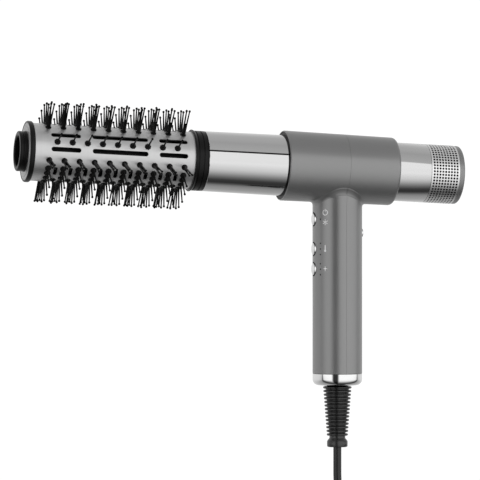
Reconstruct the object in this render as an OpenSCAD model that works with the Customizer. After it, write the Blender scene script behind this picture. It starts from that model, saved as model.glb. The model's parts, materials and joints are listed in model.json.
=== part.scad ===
// Hair dryer with a round thermal brush on its outlet.
// Origin: centre of the hand grip, on the handle's axis. +Z runs up the handle, the nose points to -X.

/* [Barrel] */
// Height of the barrel axis above the grip centre
barrel_z = 116; // [105:0.5:140]
// Angle by which the nose is lifted
barrel_tilt = 2.7; // [0:0.1:4]
// Sleeve length in front of the handle axis
sleeve_front = 44.3; // [40:0.1:56]
// Sleeve length behind the handle axis
sleeve_rear = 43.8; // [38:0.1:56]
// Outer diameter of the sleeve at its front edge
sleeve_d = 53.5; // [52:0.1:66]
// Loss of radius from the front edge to the rear edge
sleeve_draft = 0.72; // [0:0.02:1.2]
// Wall of the two housing shells
shell_wall = 2.2; // [1.6:0.1:2.6]
// Place of the joint between the shells, behind the handle axis
seam_x = 3.3; // [0:0.1:6]
// Visible length of the rear tube
rear_tube_out = 25.1; // [15:0.1:40]
// Length of the perforated intake ring
intake_len = 22.4; // [18:0.1:34]
// Thickness of the end cap
end_cap_t = 4.6; // [3:0.1:8]

/* [Handle] */
// Outer diameter of the handle
handle_d = 38; // [36:0.5:46]
// Distance from the barrel axis down to the base ring
handle_drop = 156.7; // [150:0.1:200]
// Height of the base ring
base_ring_h = 9.1; // [7:0.1:14]
// Visible length of the strain relief
relief_len = 47.3; // [40:0.1:60]
// Diameter of the mains lead
cord_d = 6.4; // [5.6:0.1:7]

/* [Buttons] */
// Power button, below the barrel axis
power_drop = 39; // [36:0.5:42]
// Cool shot button, below the barrel axis
cool_drop = 49.2; // [44:0.5:54]
// Temperature button, below the barrel axis
temperature_drop = 61.6; // [57:0.1:66]
// Speed button, below the barrel axis
speed_drop = 77; // [74:0.5:82]
// Diameter of a front button
button_d = 9; // [7:0.1:9.6]
// Diameter of the cool shot button
cool_d = 6.8; // [5:0.1:8]
// Open ring around a button
button_gap = 1; // [0.3:0.1:1.2]
// Height that a button stands proud
button_proud = 1.4; // [0.6:0.1:1.8]
// Travel of a button
button_travel = 0.8; // [0.4:0.1:0.9]

/* [Attachment] */
// Length of the steel adapter tube outside the sleeve
adapter_out = 62.1; // [40:0.1:80]
// Length of the lock collar
collar_len = 10; // [8:0.1:14]
// Length of the bristled barrel
brush_len = 122.5; // [100:0.5:150]
// Outer diameter of the bristled barrel
brush_d = 43.4; // [40:0.1:50]
// Wall of the bristled barrel
brush_wall = 1; // [0.8:0.1:1.4]
// Diameter of the flange at the tip
flange_d = 46; // [45:0.1:56]
// Thickness of the flange
flange_t = 4.2; // [3.6:0.1:8]
// Diameter of the cool tip
tip_d = 30.2; // [26:0.1:36]
// Bore of the cool tip
tip_bore_d = 23; // [16:0.1:24]
// Length of the cool tip in front of the flange
tip_out = 6; // [4:0.1:14]
// Height of a single bristle above the barrel
pin_h = 16; // [10:0.5:20]
// Height of the long bristles in a tuft
tuft_h = 22; // [12:0.1:24]
// Tufts in one row
tufts = 10; // [6:1:10]

/* [Hidden] */
$fn = 96;
eps = 0.01;

// Clearances
seam_gap = 0.12;
fit_gap = 0.05;
run_gap = 0.05;
socket_gap = 0.3;
seat_gap = 0.4;
spigot_gap = 0.35;

// Barrel radii, from the sleeve inwards
liner_wall = 1;
adapter_wall = 0.8;
core_wall = 1.7;
duct_wall = 0.9;
tube_wall = 0.8;
tube_inset = 1.33;
mouth_edge = 0.9;
front_round = 0.8;
rear_round = 2.5;
sleeve_r = sleeve_d / 2;
sleeve_rear_r = sleeve_r - sleeve_draft;
liner_r = sleeve_r - shell_wall;
socket_r = liner_r - liner_wall;
adapter_r = socket_r - socket_gap;
adapter_taper = 0.5;
core_bore_r = adapter_r - adapter_wall - core_wall;
duct_r = core_bore_r - spigot_gap;
duct_bore_r = duct_r - duct_wall;
bore_r = sleeve_rear_r - shell_wall;
rear_tube_r = bore_r - tube_inset;
rear_tube_bore_r = rear_tube_r - tube_wall;

// Places along the barrel axis, + to the rear
socket_depth = 8.9;
socket_floor_t = 2;
socket_floor_x = -sleeve_front + socket_depth;
liner_lip_x = -sleeve_front + 1.8;
liner_lip_r = sleeve_r - mouth_edge;
spigot_x = socket_floor_x - 5.5;
duct_end_x = sleeve_rear - 25.3;
tube_start_x = duct_end_x + 0.5;
tube_end_x = sleeve_rear + rear_tube_out;
intake_start_x = tube_end_x + 0.2;
intake_end_x = intake_start_x + intake_len;
cap_end_x = intake_end_x + end_cap_t;

// Magnets in the socket's floor
magnet_d = 2.4;
magnets = 8;

// Heater
heater_x = socket_floor_x + 2;
heater_end_x = duct_end_x - 4;
wrap_t = 0.3;
wrap_r = duct_bore_r - 0.15;
frame_r = wrap_r - wrap_t - 0.1;
plate_t = 0.8;
coil_r = frame_r - 1.6;
wire_r = 0.5;
coil_turns = 9;

// Motor, from its front edge
motor_x = tube_start_x + 2;
casing_r = 18;
casing_wall = 1.4;
casing_len = 36;
hub_r = 10;
hub_wall = 1;
hub_len = 21;
bearing_r = 4;
bearing_t = 3;
shaft_r = 1.5;
end_wall = 4;
stator_len = 8;
stator_x = motor_x + 7.5;
magnet_r = 4.6;
air_gap = 0.4;
vanes = 9;
impeller_x = motor_x + hub_len + 2.2;
impeller_len = 10;
impeller_hub_r = 8.6;
blades = 9;
tip_gap = 0.35;
cage_r = rear_tube_bore_r - 1.7;
cage_wall = 1.2;
cage_x = motor_x + casing_len + 1;
cage_end_x = intake_end_x - 1.6;
cover_magnet_r = 4;

// Handle
handle_r = handle_d / 2;
handle_bore_r = handle_r - shell_wall;
handle_bottom = barrel_z - handle_drop;
ring_bottom = handle_bottom - base_ring_h;
relief_end = ring_bottom - relief_len;
cord_r = cord_d / 2;
seam_drop = sleeve_r + 2;
handle_seam_x = seam_x * cos(barrel_tilt) - seam_drop * sin(barrel_tilt);
handle_seam_top = barrel_z - seam_drop * cos(barrel_tilt) + handle_seam_x * sin(barrel_tilt);

// Buttons and the board behind them
button_r = button_d / 2;
cool_r = cool_d / 2;
stem_r = 1.5;
board_t = 1.6;
board_front_x = -6;
board_rear_x = board_front_x + board_t;
board_w = 26;
board_top = barrel_z - sleeve_r - 4;
board_low = barrel_z - speed_drop - 16;
switch_t = 3.5;
plunger_t = 0.8;
plunger_gap = 0.3;
guide_t = 1.2;
flange_h = 0.6;
front_flange_x = -sqrt(pow(handle_bore_r, 2) - pow(button_r + button_gap + 0.9, 2)) + 0.3;
rear_flange_x = sqrt(pow(handle_bore_r, 2) - pow(cool_r + 1.3, 2)) - 0.3;
guide_front_x = front_flange_x + flange_h + button_travel + 0.4;
guide_rear_x = rear_flange_x - flange_h - button_travel - 0.4;
guide_w = 2 * sqrt(pow(handle_bore_r, 2) - pow(guide_front_x, 2)) - 0.8;
wires_x = board_rear_x + 1.2;
ion_box_t = 8.4;
base_plate_t = 2.5;
clamp_low = handle_bottom + base_plate_t + 0.1;
clamp_top = clamp_low + 9;
clamp_screw_y = 6.2;
screw_r = 1.1;
screw_len = 5;
screw_head_h = 1.4;
light_angle = 31;
light_r = 0.65;
light_pitch = 4.2;

// Attachment places along the barrel axis
adapter_rear_x = socket_floor_x - seat_gap;
latch_t = 1;
latch_r = adapter_r - adapter_wall - fit_gap;
seal_x = spigot_x + 2.4;
seal_t = 1.6;
seal_depth = 0.7;
adapter_front_x = -sleeve_front - adapter_out;
collar_rear_x = adapter_front_x - 0.5;
collar_front_x = collar_rear_x - collar_len;
brush_front_x = collar_front_x - brush_len;
flange_front_x = brush_front_x - flange_t;
tip_x = flange_front_x - tip_out;
tip_floor_x = flange_front_x + 8;
guide_x = tip_floor_x + 3;
brush_r = brush_d / 2;
brush_bore_r = brush_r - brush_wall;
lock_depth = 10;

// Core of the brush: a tube in the barrel, a hub in the collar and a spigot in the adapter
brush_core_wall = 1.2;
hub_step = 0.3;
hub_x = collar_rear_x - 3;
brush_core_r = brush_bore_r - 0.15;
brush_core_bore_r = brush_core_r - brush_core_wall;
guide_body_r = 12;
spigot_r = core_bore_r - run_gap;
spigot_bore_r = spigot_r - brush_core_wall;
lock_hub_r = max(brush_core_r, spigot_r) + hub_step;
lock_hub_bore_r = min(brush_core_bore_r, spigot_bore_r) - hub_step;
collar_r = max(adapter_r - adapter_taper, brush_r + 0.6, lock_hub_r + 1.2);

// Bristle pattern: angles are counted from the -Y side towards the underside, two equal halves
slot_zone = -20.9;
dense_zone = 69.1;
tuft_offset = 37.5;
slot_offset = 15.2;
window_offset = 28;
row_start = collar_front_x - 8.3;
row_pitch = 11.5;
slot_w = 2.4;
window_w = 2.9;
window_arc = 7.4;
foot_r = 2.2;
foot_h = 0.5;
root_depth = 0.3;
pin_r = 0.7;
tuft_pin_r = 0.6;
tuft_fan = 9;
fill_h = 10;
slots = [[5, 27], [35.6, 78.3], [86.9, 109.6]];
dense_rows = [[-35, 0], [-23, 0], [-8.5, 0], [0, 0.5], [8.5, 0], [23, 0], [35, 0]];

// Strain relief
ribs = 14;
rib_pitch = 2.77;
rib_t = 1.6;
relief_r = 11;
relief_low_r = 8.2;
relief_neck_r = 6;
relief_end_r = 7.9;
relief_lip = 2;

// Mains lead: a straight drop, then a tied hank of five turns, then the plug
drop_points = [[0, 0, 0], [0, 0, -10], [0, 0, -20], [0, 0, -27], [-1.6, 0, -34]];
tail_points = [
    [33, -3.3, -102], [33.5, -3.3, -113], [38.5, -3.3, -125], [43.5, -3.3, -137], [44.5, -3.3, -146]
];
turns = 5;
turn_pitch = 6.5;
loop_r = 20;
waist = 3.3;
hank_top = -53;
hank_low = -149;
hank_mid = (hank_top + hank_low) / 2;
hank_skin = 1.6;
tie_h = 10;
tie_t = 1.4;
plug_at = [44.5, -3.3, -146];
plug_relief_len = 16;
plug_len = 30;
plug_r = 17.75;
plug_t = 26;
plug_pin_r = 2.4;
plug_pin_len = 19;
plug_pin_span = 19;

// Points of an arc
function arc(c, r, a0, a1, n = 8) = [
    for (i = [0:n]) let (a = a0 + (a1 - a0) * i / n) c + r * [cos(a), sin(a)]
];

// Frame of the barrel: local +X runs to the rear along its axis
module barrel() {
    translate([0, 0, barrel_z]) rotate([0, barrel_tilt, 0]) children();
}

// Solid turned about the barrel axis, from points [x, radius]
module turned(points) {
    barrel() rotate([0, 90, 0]) rotate_extrude() polygon([for (p = points) [p[1], p[0]]]);
}

// Plain ring about the barrel axis
module barrel_ring(x0, x1, r_out, r_in) {
    turned([[x0, r_in], [x1, r_in], [x1, r_out], [x0, r_out]]);
}

// Repeats its children evenly about the barrel axis
module around(count, start = 0) {
    barrel() for (i = [0:count - 1]) rotate([start + 360 * i / count, 0, 0]) children();
}

// Ring about the handle axis
module handle_ring(z0, z1, r_out, r_in) {
    difference() {
        translate([0, 0, z0]) cylinder(r = r_out, h = z1 - z0);
        translate([0, 0, z0 - 1]) cylinder(r = r_in, h = z1 - z0 + 2);
    }
}

// ---- Housing ----

module sleeve_solid() {
    turned(concat(
        [[-sleeve_front, 0]],
        arc([-sleeve_front + front_round, sleeve_r - front_round], front_round, 180, 90),
        arc([sleeve_rear - rear_round, sleeve_rear_r - rear_round], rear_round, 90, 0),
        [[sleeve_rear, 0]]
    ));
}

module sleeve_hollow() {
    step_x = socket_floor_x + socket_floor_t + 0.1;
    lip_x = sleeve_rear - 3;
    turned([
        [-sleeve_front - 1, 0], [-sleeve_front - 1, liner_lip_r + fit_gap],
        [liner_lip_x, liner_lip_r + fit_gap],
        [liner_lip_x, liner_r + fit_gap], [step_x, liner_r + fit_gap],
        [step_x, bore_r], [lip_x, bore_r], [lip_x, rear_tube_r + fit_gap],
        [sleeve_rear + 1, rear_tube_r + fit_gap], [sleeve_rear + 1, 0]
    ]);
}

module housing() {
    difference() {
        union() {
            sleeve_solid();
            translate([0, 0, handle_bottom]) cylinder(r = handle_r, h = handle_drop);
        }
        sleeve_hollow();
        translate([0, 0, handle_bottom - 1]) cylinder(r = handle_bore_r, h = handle_drop + 1);
    }
}

module button_hole(drop, r, side) {
    translate([0, 0, barrel_z - drop]) rotate([0, side * 90, 0])
        cylinder(r = r + button_gap, h = handle_r + 2);
}

// Places of the status lights on the handle
module at_light(drop, lift = 0) {
    translate([0, 0, barrel_z - drop + lift]) rotate([0, 0, light_angle]) rotate([0, -90, 0]) children();
}

module lights() {
    at_light(power_drop) children();
    for (k = [-1:1]) {
        at_light(temperature_drop, k * light_pitch) children();
        at_light(speed_drop, k * light_pitch) children();
    }
}

module front_shell() {
    color("#8f8f8f") difference() {
        housing();
        barrel() translate([seam_x - seam_gap / 2, -100, -seam_drop]) cube([200, 200, 200]);
        translate([handle_seam_x - seam_gap / 2, -100, handle_bottom - 50])
            cube([200, 200, handle_seam_top - handle_bottom + 50]);
        button_hole(power_drop, button_r, -1);
        button_hole(temperature_drop, button_r, -1);
        button_hole(speed_drop, button_r, -1);
        lights() cylinder(r = light_r, h = handle_r + 2);
    }
}

module rear_shell() {
    color("#8f8f8f") difference() {
        housing();
        barrel() translate([seam_x + seam_gap / 2 - 200, -100, -seam_drop]) cube([200, 200, 200]);
        translate([handle_seam_x + seam_gap / 2 - 200, -100, handle_bottom - 50])
            cube([200, 200, handle_drop + 50]);
        button_hole(cool_drop, cool_r, 1);
    }
}

module rear_tube() {
    color("#c8c8c8") barrel_ring(tube_start_x, tube_end_x, rear_tube_r, rear_tube_bore_r);
}

module socket_liner() {
    front_x = -sleeve_front + 0.4;
    back_x = socket_floor_x + socket_floor_t;
    color("#202020") difference() {
        turned([
            [front_x, liner_lip_r], [front_x, socket_r], [socket_floor_x, socket_r],
            [socket_floor_x, duct_r + fit_gap], [back_x, duct_r + fit_gap], [back_x, liner_r],
            [liner_lip_x - fit_gap, liner_r], [liner_lip_x - fit_gap, liner_lip_r]
        ]);
        socket_pockets(magnet_d / 2 + fit_gap, 1.5);
    }
}

module socket_pockets(r, depth) {
    around(magnets) translate([socket_floor_x, 0, (duct_r + socket_r) / 2])
        rotate([0, 90, 0]) translate([0, 0, -eps]) cylinder(r = r, h = depth + eps);
}

module socket_magnets() {
    color("#9a9a9a") around(magnets) translate([socket_floor_x + 0.1, 0, (duct_r + socket_r) / 2])
        rotate([0, 90, 0]) cylinder(r = magnet_d / 2, h = 1.3);
}

module air_duct() {
    color("#303030") turned([
        [spigot_x, duct_bore_r], [duct_end_x, duct_bore_r], [duct_end_x, bore_r - fit_gap],
        [duct_end_x - 2, bore_r - fit_gap], [duct_end_x - 2, duct_r], [spigot_x, duct_r]
    ]);
}

// ---- Heater ----

module heater_frame() {
    color("#cfc6a8") around(3) translate([heater_x, -plate_t / 2, -frame_r])
        cube([heater_end_x - heater_x, plate_t, 2 * frame_r]);
}

module heater_coil() {
    step = (heater_end_x - heater_x - 8) / (coil_turns - 1);
    color("#9c8f86") barrel() for (i = [0:coil_turns - 1])
        translate([heater_x + 4 + i * step, 0, 0]) rotate([0, 90, 0])
            rotate_extrude() translate([coil_r, 0]) circle(r = wire_r, $fn = 24);
}

module heater_wrap() {
    color("#d8cfae") barrel_ring(heater_x, heater_end_x, wrap_r, wrap_r - wrap_t);
}

module thermal_cutoff() {
    color("#e8e4da") barrel() translate([heater_end_x - 12, plate_t / 2, 4]) cube([9, 3.2, 5]);
}

module ion_needle() {
    needle_len = 9;
    color("#d0d0d0") barrel() translate([heater_x - needle_len, 0, 0]) rotate([0, 90, 0])
        rotate_extrude() polygon([[0, 0], [0.5, 4], [0.5, needle_len], [0, needle_len]]);
}

// ---- Motor ----

module motor_mount() {
    color("#1c1c1c") barrel_ring(motor_x + 5, motor_x + 12, rear_tube_bore_r - fit_gap, casing_r + fit_gap);
}

module motor_casing() {
    hub_bore_r = hub_r - hub_wall;
    color("#b8babd") union() {
        barrel_ring(motor_x, motor_x + casing_len, casing_r, casing_r - casing_wall);
        turned([
            [motor_x + 2, bearing_r + fit_gap], [motor_x + 2, hub_r], [motor_x + hub_len - end_wall, hub_r],
            [motor_x + hub_len - end_wall, hub_bore_r], [motor_x + 2 + end_wall, hub_bore_r],
            [motor_x + 2 + end_wall, bearing_r + fit_gap]
        ]);
        around(vanes) translate([motor_x + 6, -0.45, hub_r - 0.4])
            cube([9, 0.9, casing_r - casing_wall - hub_r + 0.8]);
    }
}

module motor_end_plate() {
    plate_x = motor_x + hub_len - end_wall;
    color("#a4a6aa") barrel_ring(plate_x, plate_x + end_wall, hub_r, bearing_r + fit_gap);
}

module motor_stator() {
    ring_r = hub_r - hub_wall - fit_gap;
    color("#6f7378") union() {
        barrel_ring(stator_x, stator_x + stator_len, ring_r, ring_r - 1.4);
        around(6) translate([stator_x, -0.7, magnet_r + air_gap + 0.2])
            cube([stator_len, 1.4, ring_r - 1 - magnet_r - air_gap - 0.2]);
    }
}

module motor_windings() {
    ring_r = hub_r - hub_wall - fit_gap;
    color("#b06a35") around(6) difference() {
        translate([stator_x - 0.8, -1.5, magnet_r + air_gap + 0.7])
            cube([stator_len + 1.6, 3, ring_r - 1.6 - magnet_r - air_gap - 0.7]);
        translate([stator_x - fit_gap, -0.7 - fit_gap, magnet_r])
            cube([stator_len + 2 * fit_gap, 1.4 + 2 * fit_gap, ring_r]);
    }
}

module motor_bearings() {
    front_x = motor_x + 2.5;
    rear_x = motor_x + hub_len - end_wall + 0.5;
    color("#c9ccd0") for (x = [front_x, rear_x])
        barrel_ring(x, x + bearing_t, bearing_r, shaft_r + run_gap);
}

module rotor_shaft() {
    color("#d5d7da") barrel_ring(motor_x + 1, impeller_x + impeller_len + 1, shaft_r, 0);
}

module rotor_magnet() {
    color("#4a4d52") barrel_ring(stator_x, stator_x + stator_len, magnet_r, shaft_r);
}

module impeller() {
    color("#2b2d30") union() {
        turned([
            [impeller_x, shaft_r], [impeller_x, impeller_hub_r], [impeller_x + 5, impeller_hub_r],
            [impeller_x + impeller_len, 3.4], [impeller_x + impeller_len, shaft_r]
        ]);
        intersection() {
            barrel_ring(impeller_x, impeller_x + impeller_len, casing_r - casing_wall - tip_gap, 5);
            around(blades) translate([impeller_x + 4, 0, 5.5]) rotate([0, 0, 38])
                translate([-4.6, -0.4, 0]) cube([9.2, 0.8, casing_r]);
        }
    }
}

// ---- Intake ----

module intake_cage() {
    windows = 8;
    color("#1d1d1f") difference() {
        turned([
            [cage_x, rear_tube_bore_r - fit_gap], [cage_x, cage_r - cage_wall],
            [cage_end_x - 1.5, cage_r - cage_wall], [cage_end_x - 1.5, cover_magnet_r],
            [cage_end_x, cover_magnet_r], [cage_end_x, cage_r], [cage_x + 3, cage_r],
            [cage_x + 3, rear_tube_bore_r - fit_gap]
        ]);
        around(windows) translate([intake_start_x + 1, -5.4, 8])
            cube([cage_end_x - intake_start_x - 4.5, 10.8, cage_r]);
    }
}

module cover_magnet() {
    color("#a8a8a8") barrel_ring(cage_end_x - 1.5, cage_end_x, cover_magnet_r - fit_gap, 0);
}

module intake_ring() {
    columns = 3;
    holes = 20;
    step = intake_len / (columns + 0.5);
    color("#c4c4c4") difference() {
        barrel_ring(intake_start_x, intake_end_x, rear_tube_r, rear_tube_r - tube_wall);
        for (k = [0:columns - 1]) around(holes, (k % 2 + 0.5) * 180 / holes)
            translate([intake_start_x + step * (k + 0.75), 0, rear_tube_r - 4]) cylinder(r = 2.2, h = 8);
    }
}

module intake_mesh() {
    mesh_r = rear_tube_r - tube_wall - fit_gap;
    color("#151515") barrel_ring(intake_start_x + 0.4, intake_end_x - 0.4, mesh_r, mesh_r - 0.3);
}

module end_cap() {
    edge = 1.6;
    lip_r = rear_tube_r - tube_wall - fit_gap - 0.4;
    color("#8a8a8a") turned(concat(
        [[intake_end_x + 0.05, 0], [intake_end_x + 0.05, lip_r - 0.6], [intake_end_x - 1.4, lip_r - 0.6],
         [intake_end_x - 1.4, lip_r], [intake_end_x + 0.05, lip_r], [intake_end_x + 0.05, rear_tube_r - 0.1]],
        arc([cap_end_x - edge, rear_tube_r - 0.1 - edge], edge, 90, 0),
        [[cap_end_x, 0]]
    ));
}

// ---- Inside the handle ----

module control_board() {
    color("#1f5a3a") translate([board_front_x, -board_w / 2, board_low])
        cube([board_t, board_w, board_top - board_low]);
}

module board_parts() {
    low_z = barrel_z - speed_drop - 8;
    color("#30343a") union() {
        translate([board_rear_x, -11, low_z]) cube([9, 7, 14]);
        translate([board_rear_x + 5.2, 5, low_z]) cylinder(r = 5, h = 16);
        translate([board_rear_x, -10, low_z + 22]) cube([3, 8, 6]);
        translate([board_rear_x, 3, low_z + 20]) cube([2, 6, 6]);
    }
}

// Stands in front of the supply wires, below the board
module ion_generator() {
    color("#2f3136") translate([wires_x - 1.6 - ion_box_t, -7, board_low - 32]) cube([ion_box_t, 14, 24]);
}

module push_switch(drop, side, face_x) {
    translate([face_x, 0, barrel_z - drop]) rotate([0, side * 90, 0]) {
        translate([-3, -3, 0]) cube([6, 6, switch_t]);
        translate([0, 0, switch_t]) cylinder(r = 1.7, h = plunger_t);
    }
}

module push_switches() {
    color("#3c3f45") union() {
        for (drop = [power_drop, temperature_drop, speed_drop]) push_switch(drop, -1, board_front_x);
        push_switch(cool_drop, 1, board_rear_x);
    }
}

module status_lights() {
    color("#f4f4ea") lights() translate([0, 0, handle_bore_r + 0.1])
        cylinder(r = light_r - fit_gap, h = shell_wall - 0.2);
}

module button_guide() {
    low_z = barrel_z - speed_drop - 9;
    high_z = barrel_z - power_drop + 9;
    color("#2a2a2a") difference() {
        translate([guide_front_x, -guide_w / 2, low_z]) cube([guide_t, guide_w, high_z - low_z]);
        for (drop = [power_drop, temperature_drop, speed_drop])
            translate([guide_front_x - 1, 0, barrel_z - drop]) rotate([0, 90, 0])
                cylinder(r = stem_r + run_gap, h = guide_t + 2);
    }
}

module cool_guide() {
    color("#2a2a2a") difference() {
        translate([guide_rear_x - guide_t, -6, barrel_z - cool_drop - 8]) cube([guide_t, 12, 16]);
        translate([guide_rear_x - guide_t - 1, 0, barrel_z - cool_drop])
            rotate([0, 90, 0]) cylinder(r = stem_r + run_gap, h = guide_t + 2);
    }
}

module small_screws() {
    color("#b5b5b5") for (side = [-1, 1]) translate([0, side * clamp_screw_y, clamp_top - screw_len + 0.1])
        rotate_extrude() polygon([
            [0, 0], [screw_r, 0], [screw_r, screw_len], [2 * screw_r, screw_len],
            [2 * screw_r, screw_len + screw_head_h], [0, screw_len + screw_head_h]
        ]);
}

module supply_wires() {
    wire_top = board_low + 6;
    wire_low = clamp_top + 1.5;
    color("#7a3028") for (side = [-1, 1]) translate([wires_x, side * 2, wire_low])
        cylinder(r = 1, h = wire_top - wire_low);
}

module cord_clamp() {
    color("#3a3a3a") difference() {
        translate([-6, -9, clamp_low]) cube([12, 18, clamp_top - clamp_low]);
        translate([0, 0, clamp_low - 1]) cylinder(r = cord_r + fit_gap, h = clamp_top - clamp_low + 2);
        for (side = [-1, 1]) translate([0, side * clamp_screw_y, clamp_top - screw_len - 0.2])
            cylinder(r = screw_r + fit_gap, h = screw_len + 1);
    }
}

module base_plate() {
    color("#262626")
        handle_ring(handle_bottom, handle_bottom + base_plate_t, handle_bore_r - fit_gap, cord_r + fit_gap);
}

module base_ring() {
    corner = 4.4;
    bore = relief_r + 0.15;
    seat = relief_r + relief_lip + 0.15;
    color("#d9d9d9") rotate_extrude() polygon(concat(
        [[bore, ring_bottom]],
        arc([handle_r - corner, ring_bottom + corner], corner, -90, 0),
        [[handle_r, handle_bottom - 0.1], [seat, handle_bottom - 0.1], [seat, handle_bottom - 2.3],
         [bore, handle_bottom - 2.3]]
    ));
}

module strain_relief() {
    rib_top = ring_bottom - 0.9;
    rib_low = rib_top - (ribs - 1) * rib_pitch - rib_t;
    function rib_r(i) = relief_r + (relief_low_r - relief_r) * i / (ribs - 1);
    color("#1a1a1a") rotate_extrude() polygon(concat(
        [[cord_r + fit_gap, handle_bottom - 0.15], [relief_r + relief_lip, handle_bottom - 0.15],
         [relief_r + relief_lip, handle_bottom - 2.2], [relief_r, handle_bottom - 2.2],
         [relief_r, ring_bottom - 0.05], [relief_neck_r, ring_bottom - 0.05]],
        [for (i = [0:ribs - 1]) for (k = [0:3])
            [k % 3 == 0 ? relief_neck_r : rib_r(i), rib_top - i * rib_pitch - (k < 2 ? 0 : rib_t)]],
        [[relief_neck_r, rib_low - 1.5]],
        [[relief_end_r, rib_low - 3], [relief_end_r, relief_end + 1], [relief_end_r - 1, relief_end],
         [cord_r + fit_gap, relief_end]]
    ));
}

// ---- Buttons ----

// Cap, flange and stem; local +Z points out of the handle
module button(r, face, flange_r, flange_at, tip) {
    crown = 0.6;
    rotate_extrude() polygon([
        [0, tip], [stem_r, tip], [stem_r, flange_at - flange_h], [flange_r, flange_at - flange_h],
        [flange_r, flange_at], [r, flange_at], [r, face - crown - 0.3], [r - 0.3, face - crown],
        [r * 0.7, face - crown * 0.3], [r * 0.35, face - crown * 0.06], [0, face]
    ]);
}

module front_button(drop) {
    tip = -board_front_x + switch_t + plunger_t + plunger_gap + button_travel;
    color("#dcdcdc") translate([0, 0, barrel_z - drop]) rotate([0, -90, 0])
        button(button_r, handle_r + button_proud, button_r + button_gap + 0.6, -front_flange_x, tip);
}

module power_button() {
    front_button(power_drop);
}

module temperature_button() {
    front_button(temperature_drop);
}

module speed_button() {
    front_button(speed_drop);
}

module cool_shot_button() {
    tip = board_rear_x + switch_t + plunger_t + plunger_gap + button_travel;
    color("#dcdcdc") translate([0, 0, barrel_z - cool_drop]) rotate([0, 90, 0])
        button(cool_r, handle_r + button_proud + 0.2, cool_r + 1.1, rear_flange_x, tip);
}

// ---- Attachment ----

module adapter_tube() {
    inner = adapter_r - adapter_wall;
    color("#cdcdcd") turned([
        [adapter_rear_x, inner], [adapter_rear_x, adapter_r], [-sleeve_front, adapter_r],
        [adapter_front_x, adapter_r - adapter_taper], [adapter_front_x, inner - adapter_taper],
        [-sleeve_front, inner]
    ]);
}

module adapter_core() {
    ring_x = adapter_rear_x - latch_t;
    front_x = seal_x - seal_t;
    color("#242424") turned([
        [ring_x, core_bore_r], [ring_x, latch_r], [-sleeve_front, latch_r],
        [adapter_front_x, latch_r - adapter_taper], [adapter_front_x, core_bore_r],
        [front_x, core_bore_r], [front_x, core_bore_r + seal_depth], [seal_x, core_bore_r + seal_depth],
        [seal_x, core_bore_r]
    ]);
}

module latch_ring() {
    color("#a9adb2") barrel_ring(adapter_rear_x - latch_t, adapter_rear_x, latch_r, core_bore_r);
}

module adapter_seal() {
    outer = core_bore_r + seal_depth - fit_gap;
    color("#7d2f2a") barrel_ring(seal_x - seal_t + fit_gap, seal_x - fit_gap, outer, duct_r + run_gap);
}

module lock_collar() {
    groove = 0.6;
    lip = 0.7;
    step = collar_len / 5;
    bore = brush_bore_r - fit_gap;
    color("#161616") turned([
        [collar_rear_x, lock_hub_r + fit_gap], [collar_rear_x, collar_r],
        [collar_rear_x - 1.5 * step, collar_r], [collar_rear_x - 1.5 * step, collar_r - groove],
        [collar_rear_x - 2 * step, collar_r - groove], [collar_rear_x - 2 * step, collar_r],
        [collar_rear_x - 3.5 * step, collar_r], [collar_rear_x - 3.5 * step, collar_r - groove],
        [collar_rear_x - 4 * step, collar_r - groove], [collar_rear_x - 4.4 * step, collar_r + lip],
        [collar_front_x, collar_r + lip], [collar_front_x, bore],
        [hub_x - fit_gap, bore], [hub_x - fit_gap, lock_hub_r + fit_gap]
    ]);
}

// A slot or a window through the bristled barrel
module barrel_cut(x0, x1, angle, width) {
    barrel() rotate([angle + 90, 0, 0]) translate([x0, -width / 2, brush_r - 4]) cube([x1 - x0, width, 8]);
}

module barrel_cuts(grow) {
    for (half = [0, 180]) {
        for (side = [-1, 1]) {
            for (s = slots) barrel_cut(
                collar_front_x - s[1] - grow - 1, collar_front_x - s[0] + grow - 1,
                half + slot_zone + side * slot_offset, slot_w + 2 * grow);
            for (i = [0:tufts - 2]) barrel_cut(
                row_start - row_pitch * (i + 0.5) - window_w / 2 - grow,
                row_start - row_pitch * (i + 0.5) + window_w / 2 + grow,
                half + dense_zone + side * window_offset, window_arc + 2 * grow);
        }
    }
}

module brush_core() {
    front_x = brush_front_x + fit_gap;
    lock_x = collar_rear_x + lock_depth;
    color("#111111") union() {
        air_guide();
        brush_core_tube(front_x, lock_x);
    }
}

// Closed inner body that spreads the air along the barrel, on two ribs clear of the cuts
module air_guide() {
    nose_x = hub_x - 8;
    face_r = guide_body_r / 2;
    inner_r = guide_body_r - brush_core_wall;
    turned([
        [guide_x, guide_body_r], [nose_x, guide_body_r], [hub_x, face_r], [hub_x, 0],
        [hub_x - brush_core_wall, 0], [hub_x - brush_core_wall, face_r - 1], [nose_x - 1, inner_r],
        [guide_x, inner_r]
    ]);
    around(2, dense_zone + 90) translate([guide_x + 1, -0.6, guide_body_r - 0.4])
        cube([nose_x - guide_x - 2, 1.2, brush_core_bore_r - guide_body_r + 0.8]);
}

module brush_core_tube(front_x, lock_x) {
    difference() {
        turned([
            [front_x, brush_core_bore_r], [front_x, brush_core_r], [hub_x, brush_core_r],
            [hub_x, lock_hub_r], [collar_rear_x, lock_hub_r], [collar_rear_x, spigot_r],
            [lock_x, spigot_r], [lock_x, spigot_bore_r], [collar_rear_x, spigot_bore_r],
            [collar_rear_x, lock_hub_bore_r], [hub_x, lock_hub_bore_r], [hub_x, brush_core_bore_r]
        ]);
        barrel_cuts(0.5);
    }
}

module brush_barrel() {
    color("#bdbdbd") difference() {
        barrel_ring(brush_front_x, collar_front_x, brush_r, brush_bore_r);
        barrel_cuts(0);
    }
}

// Places a child at a bristle's root, local +Z pointing outwards
module at_bristle(place, angle) {
    barrel() rotate([angle + 90, 0, 0]) translate([row_start - row_pitch * place, 0, brush_r]) children();
}

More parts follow.
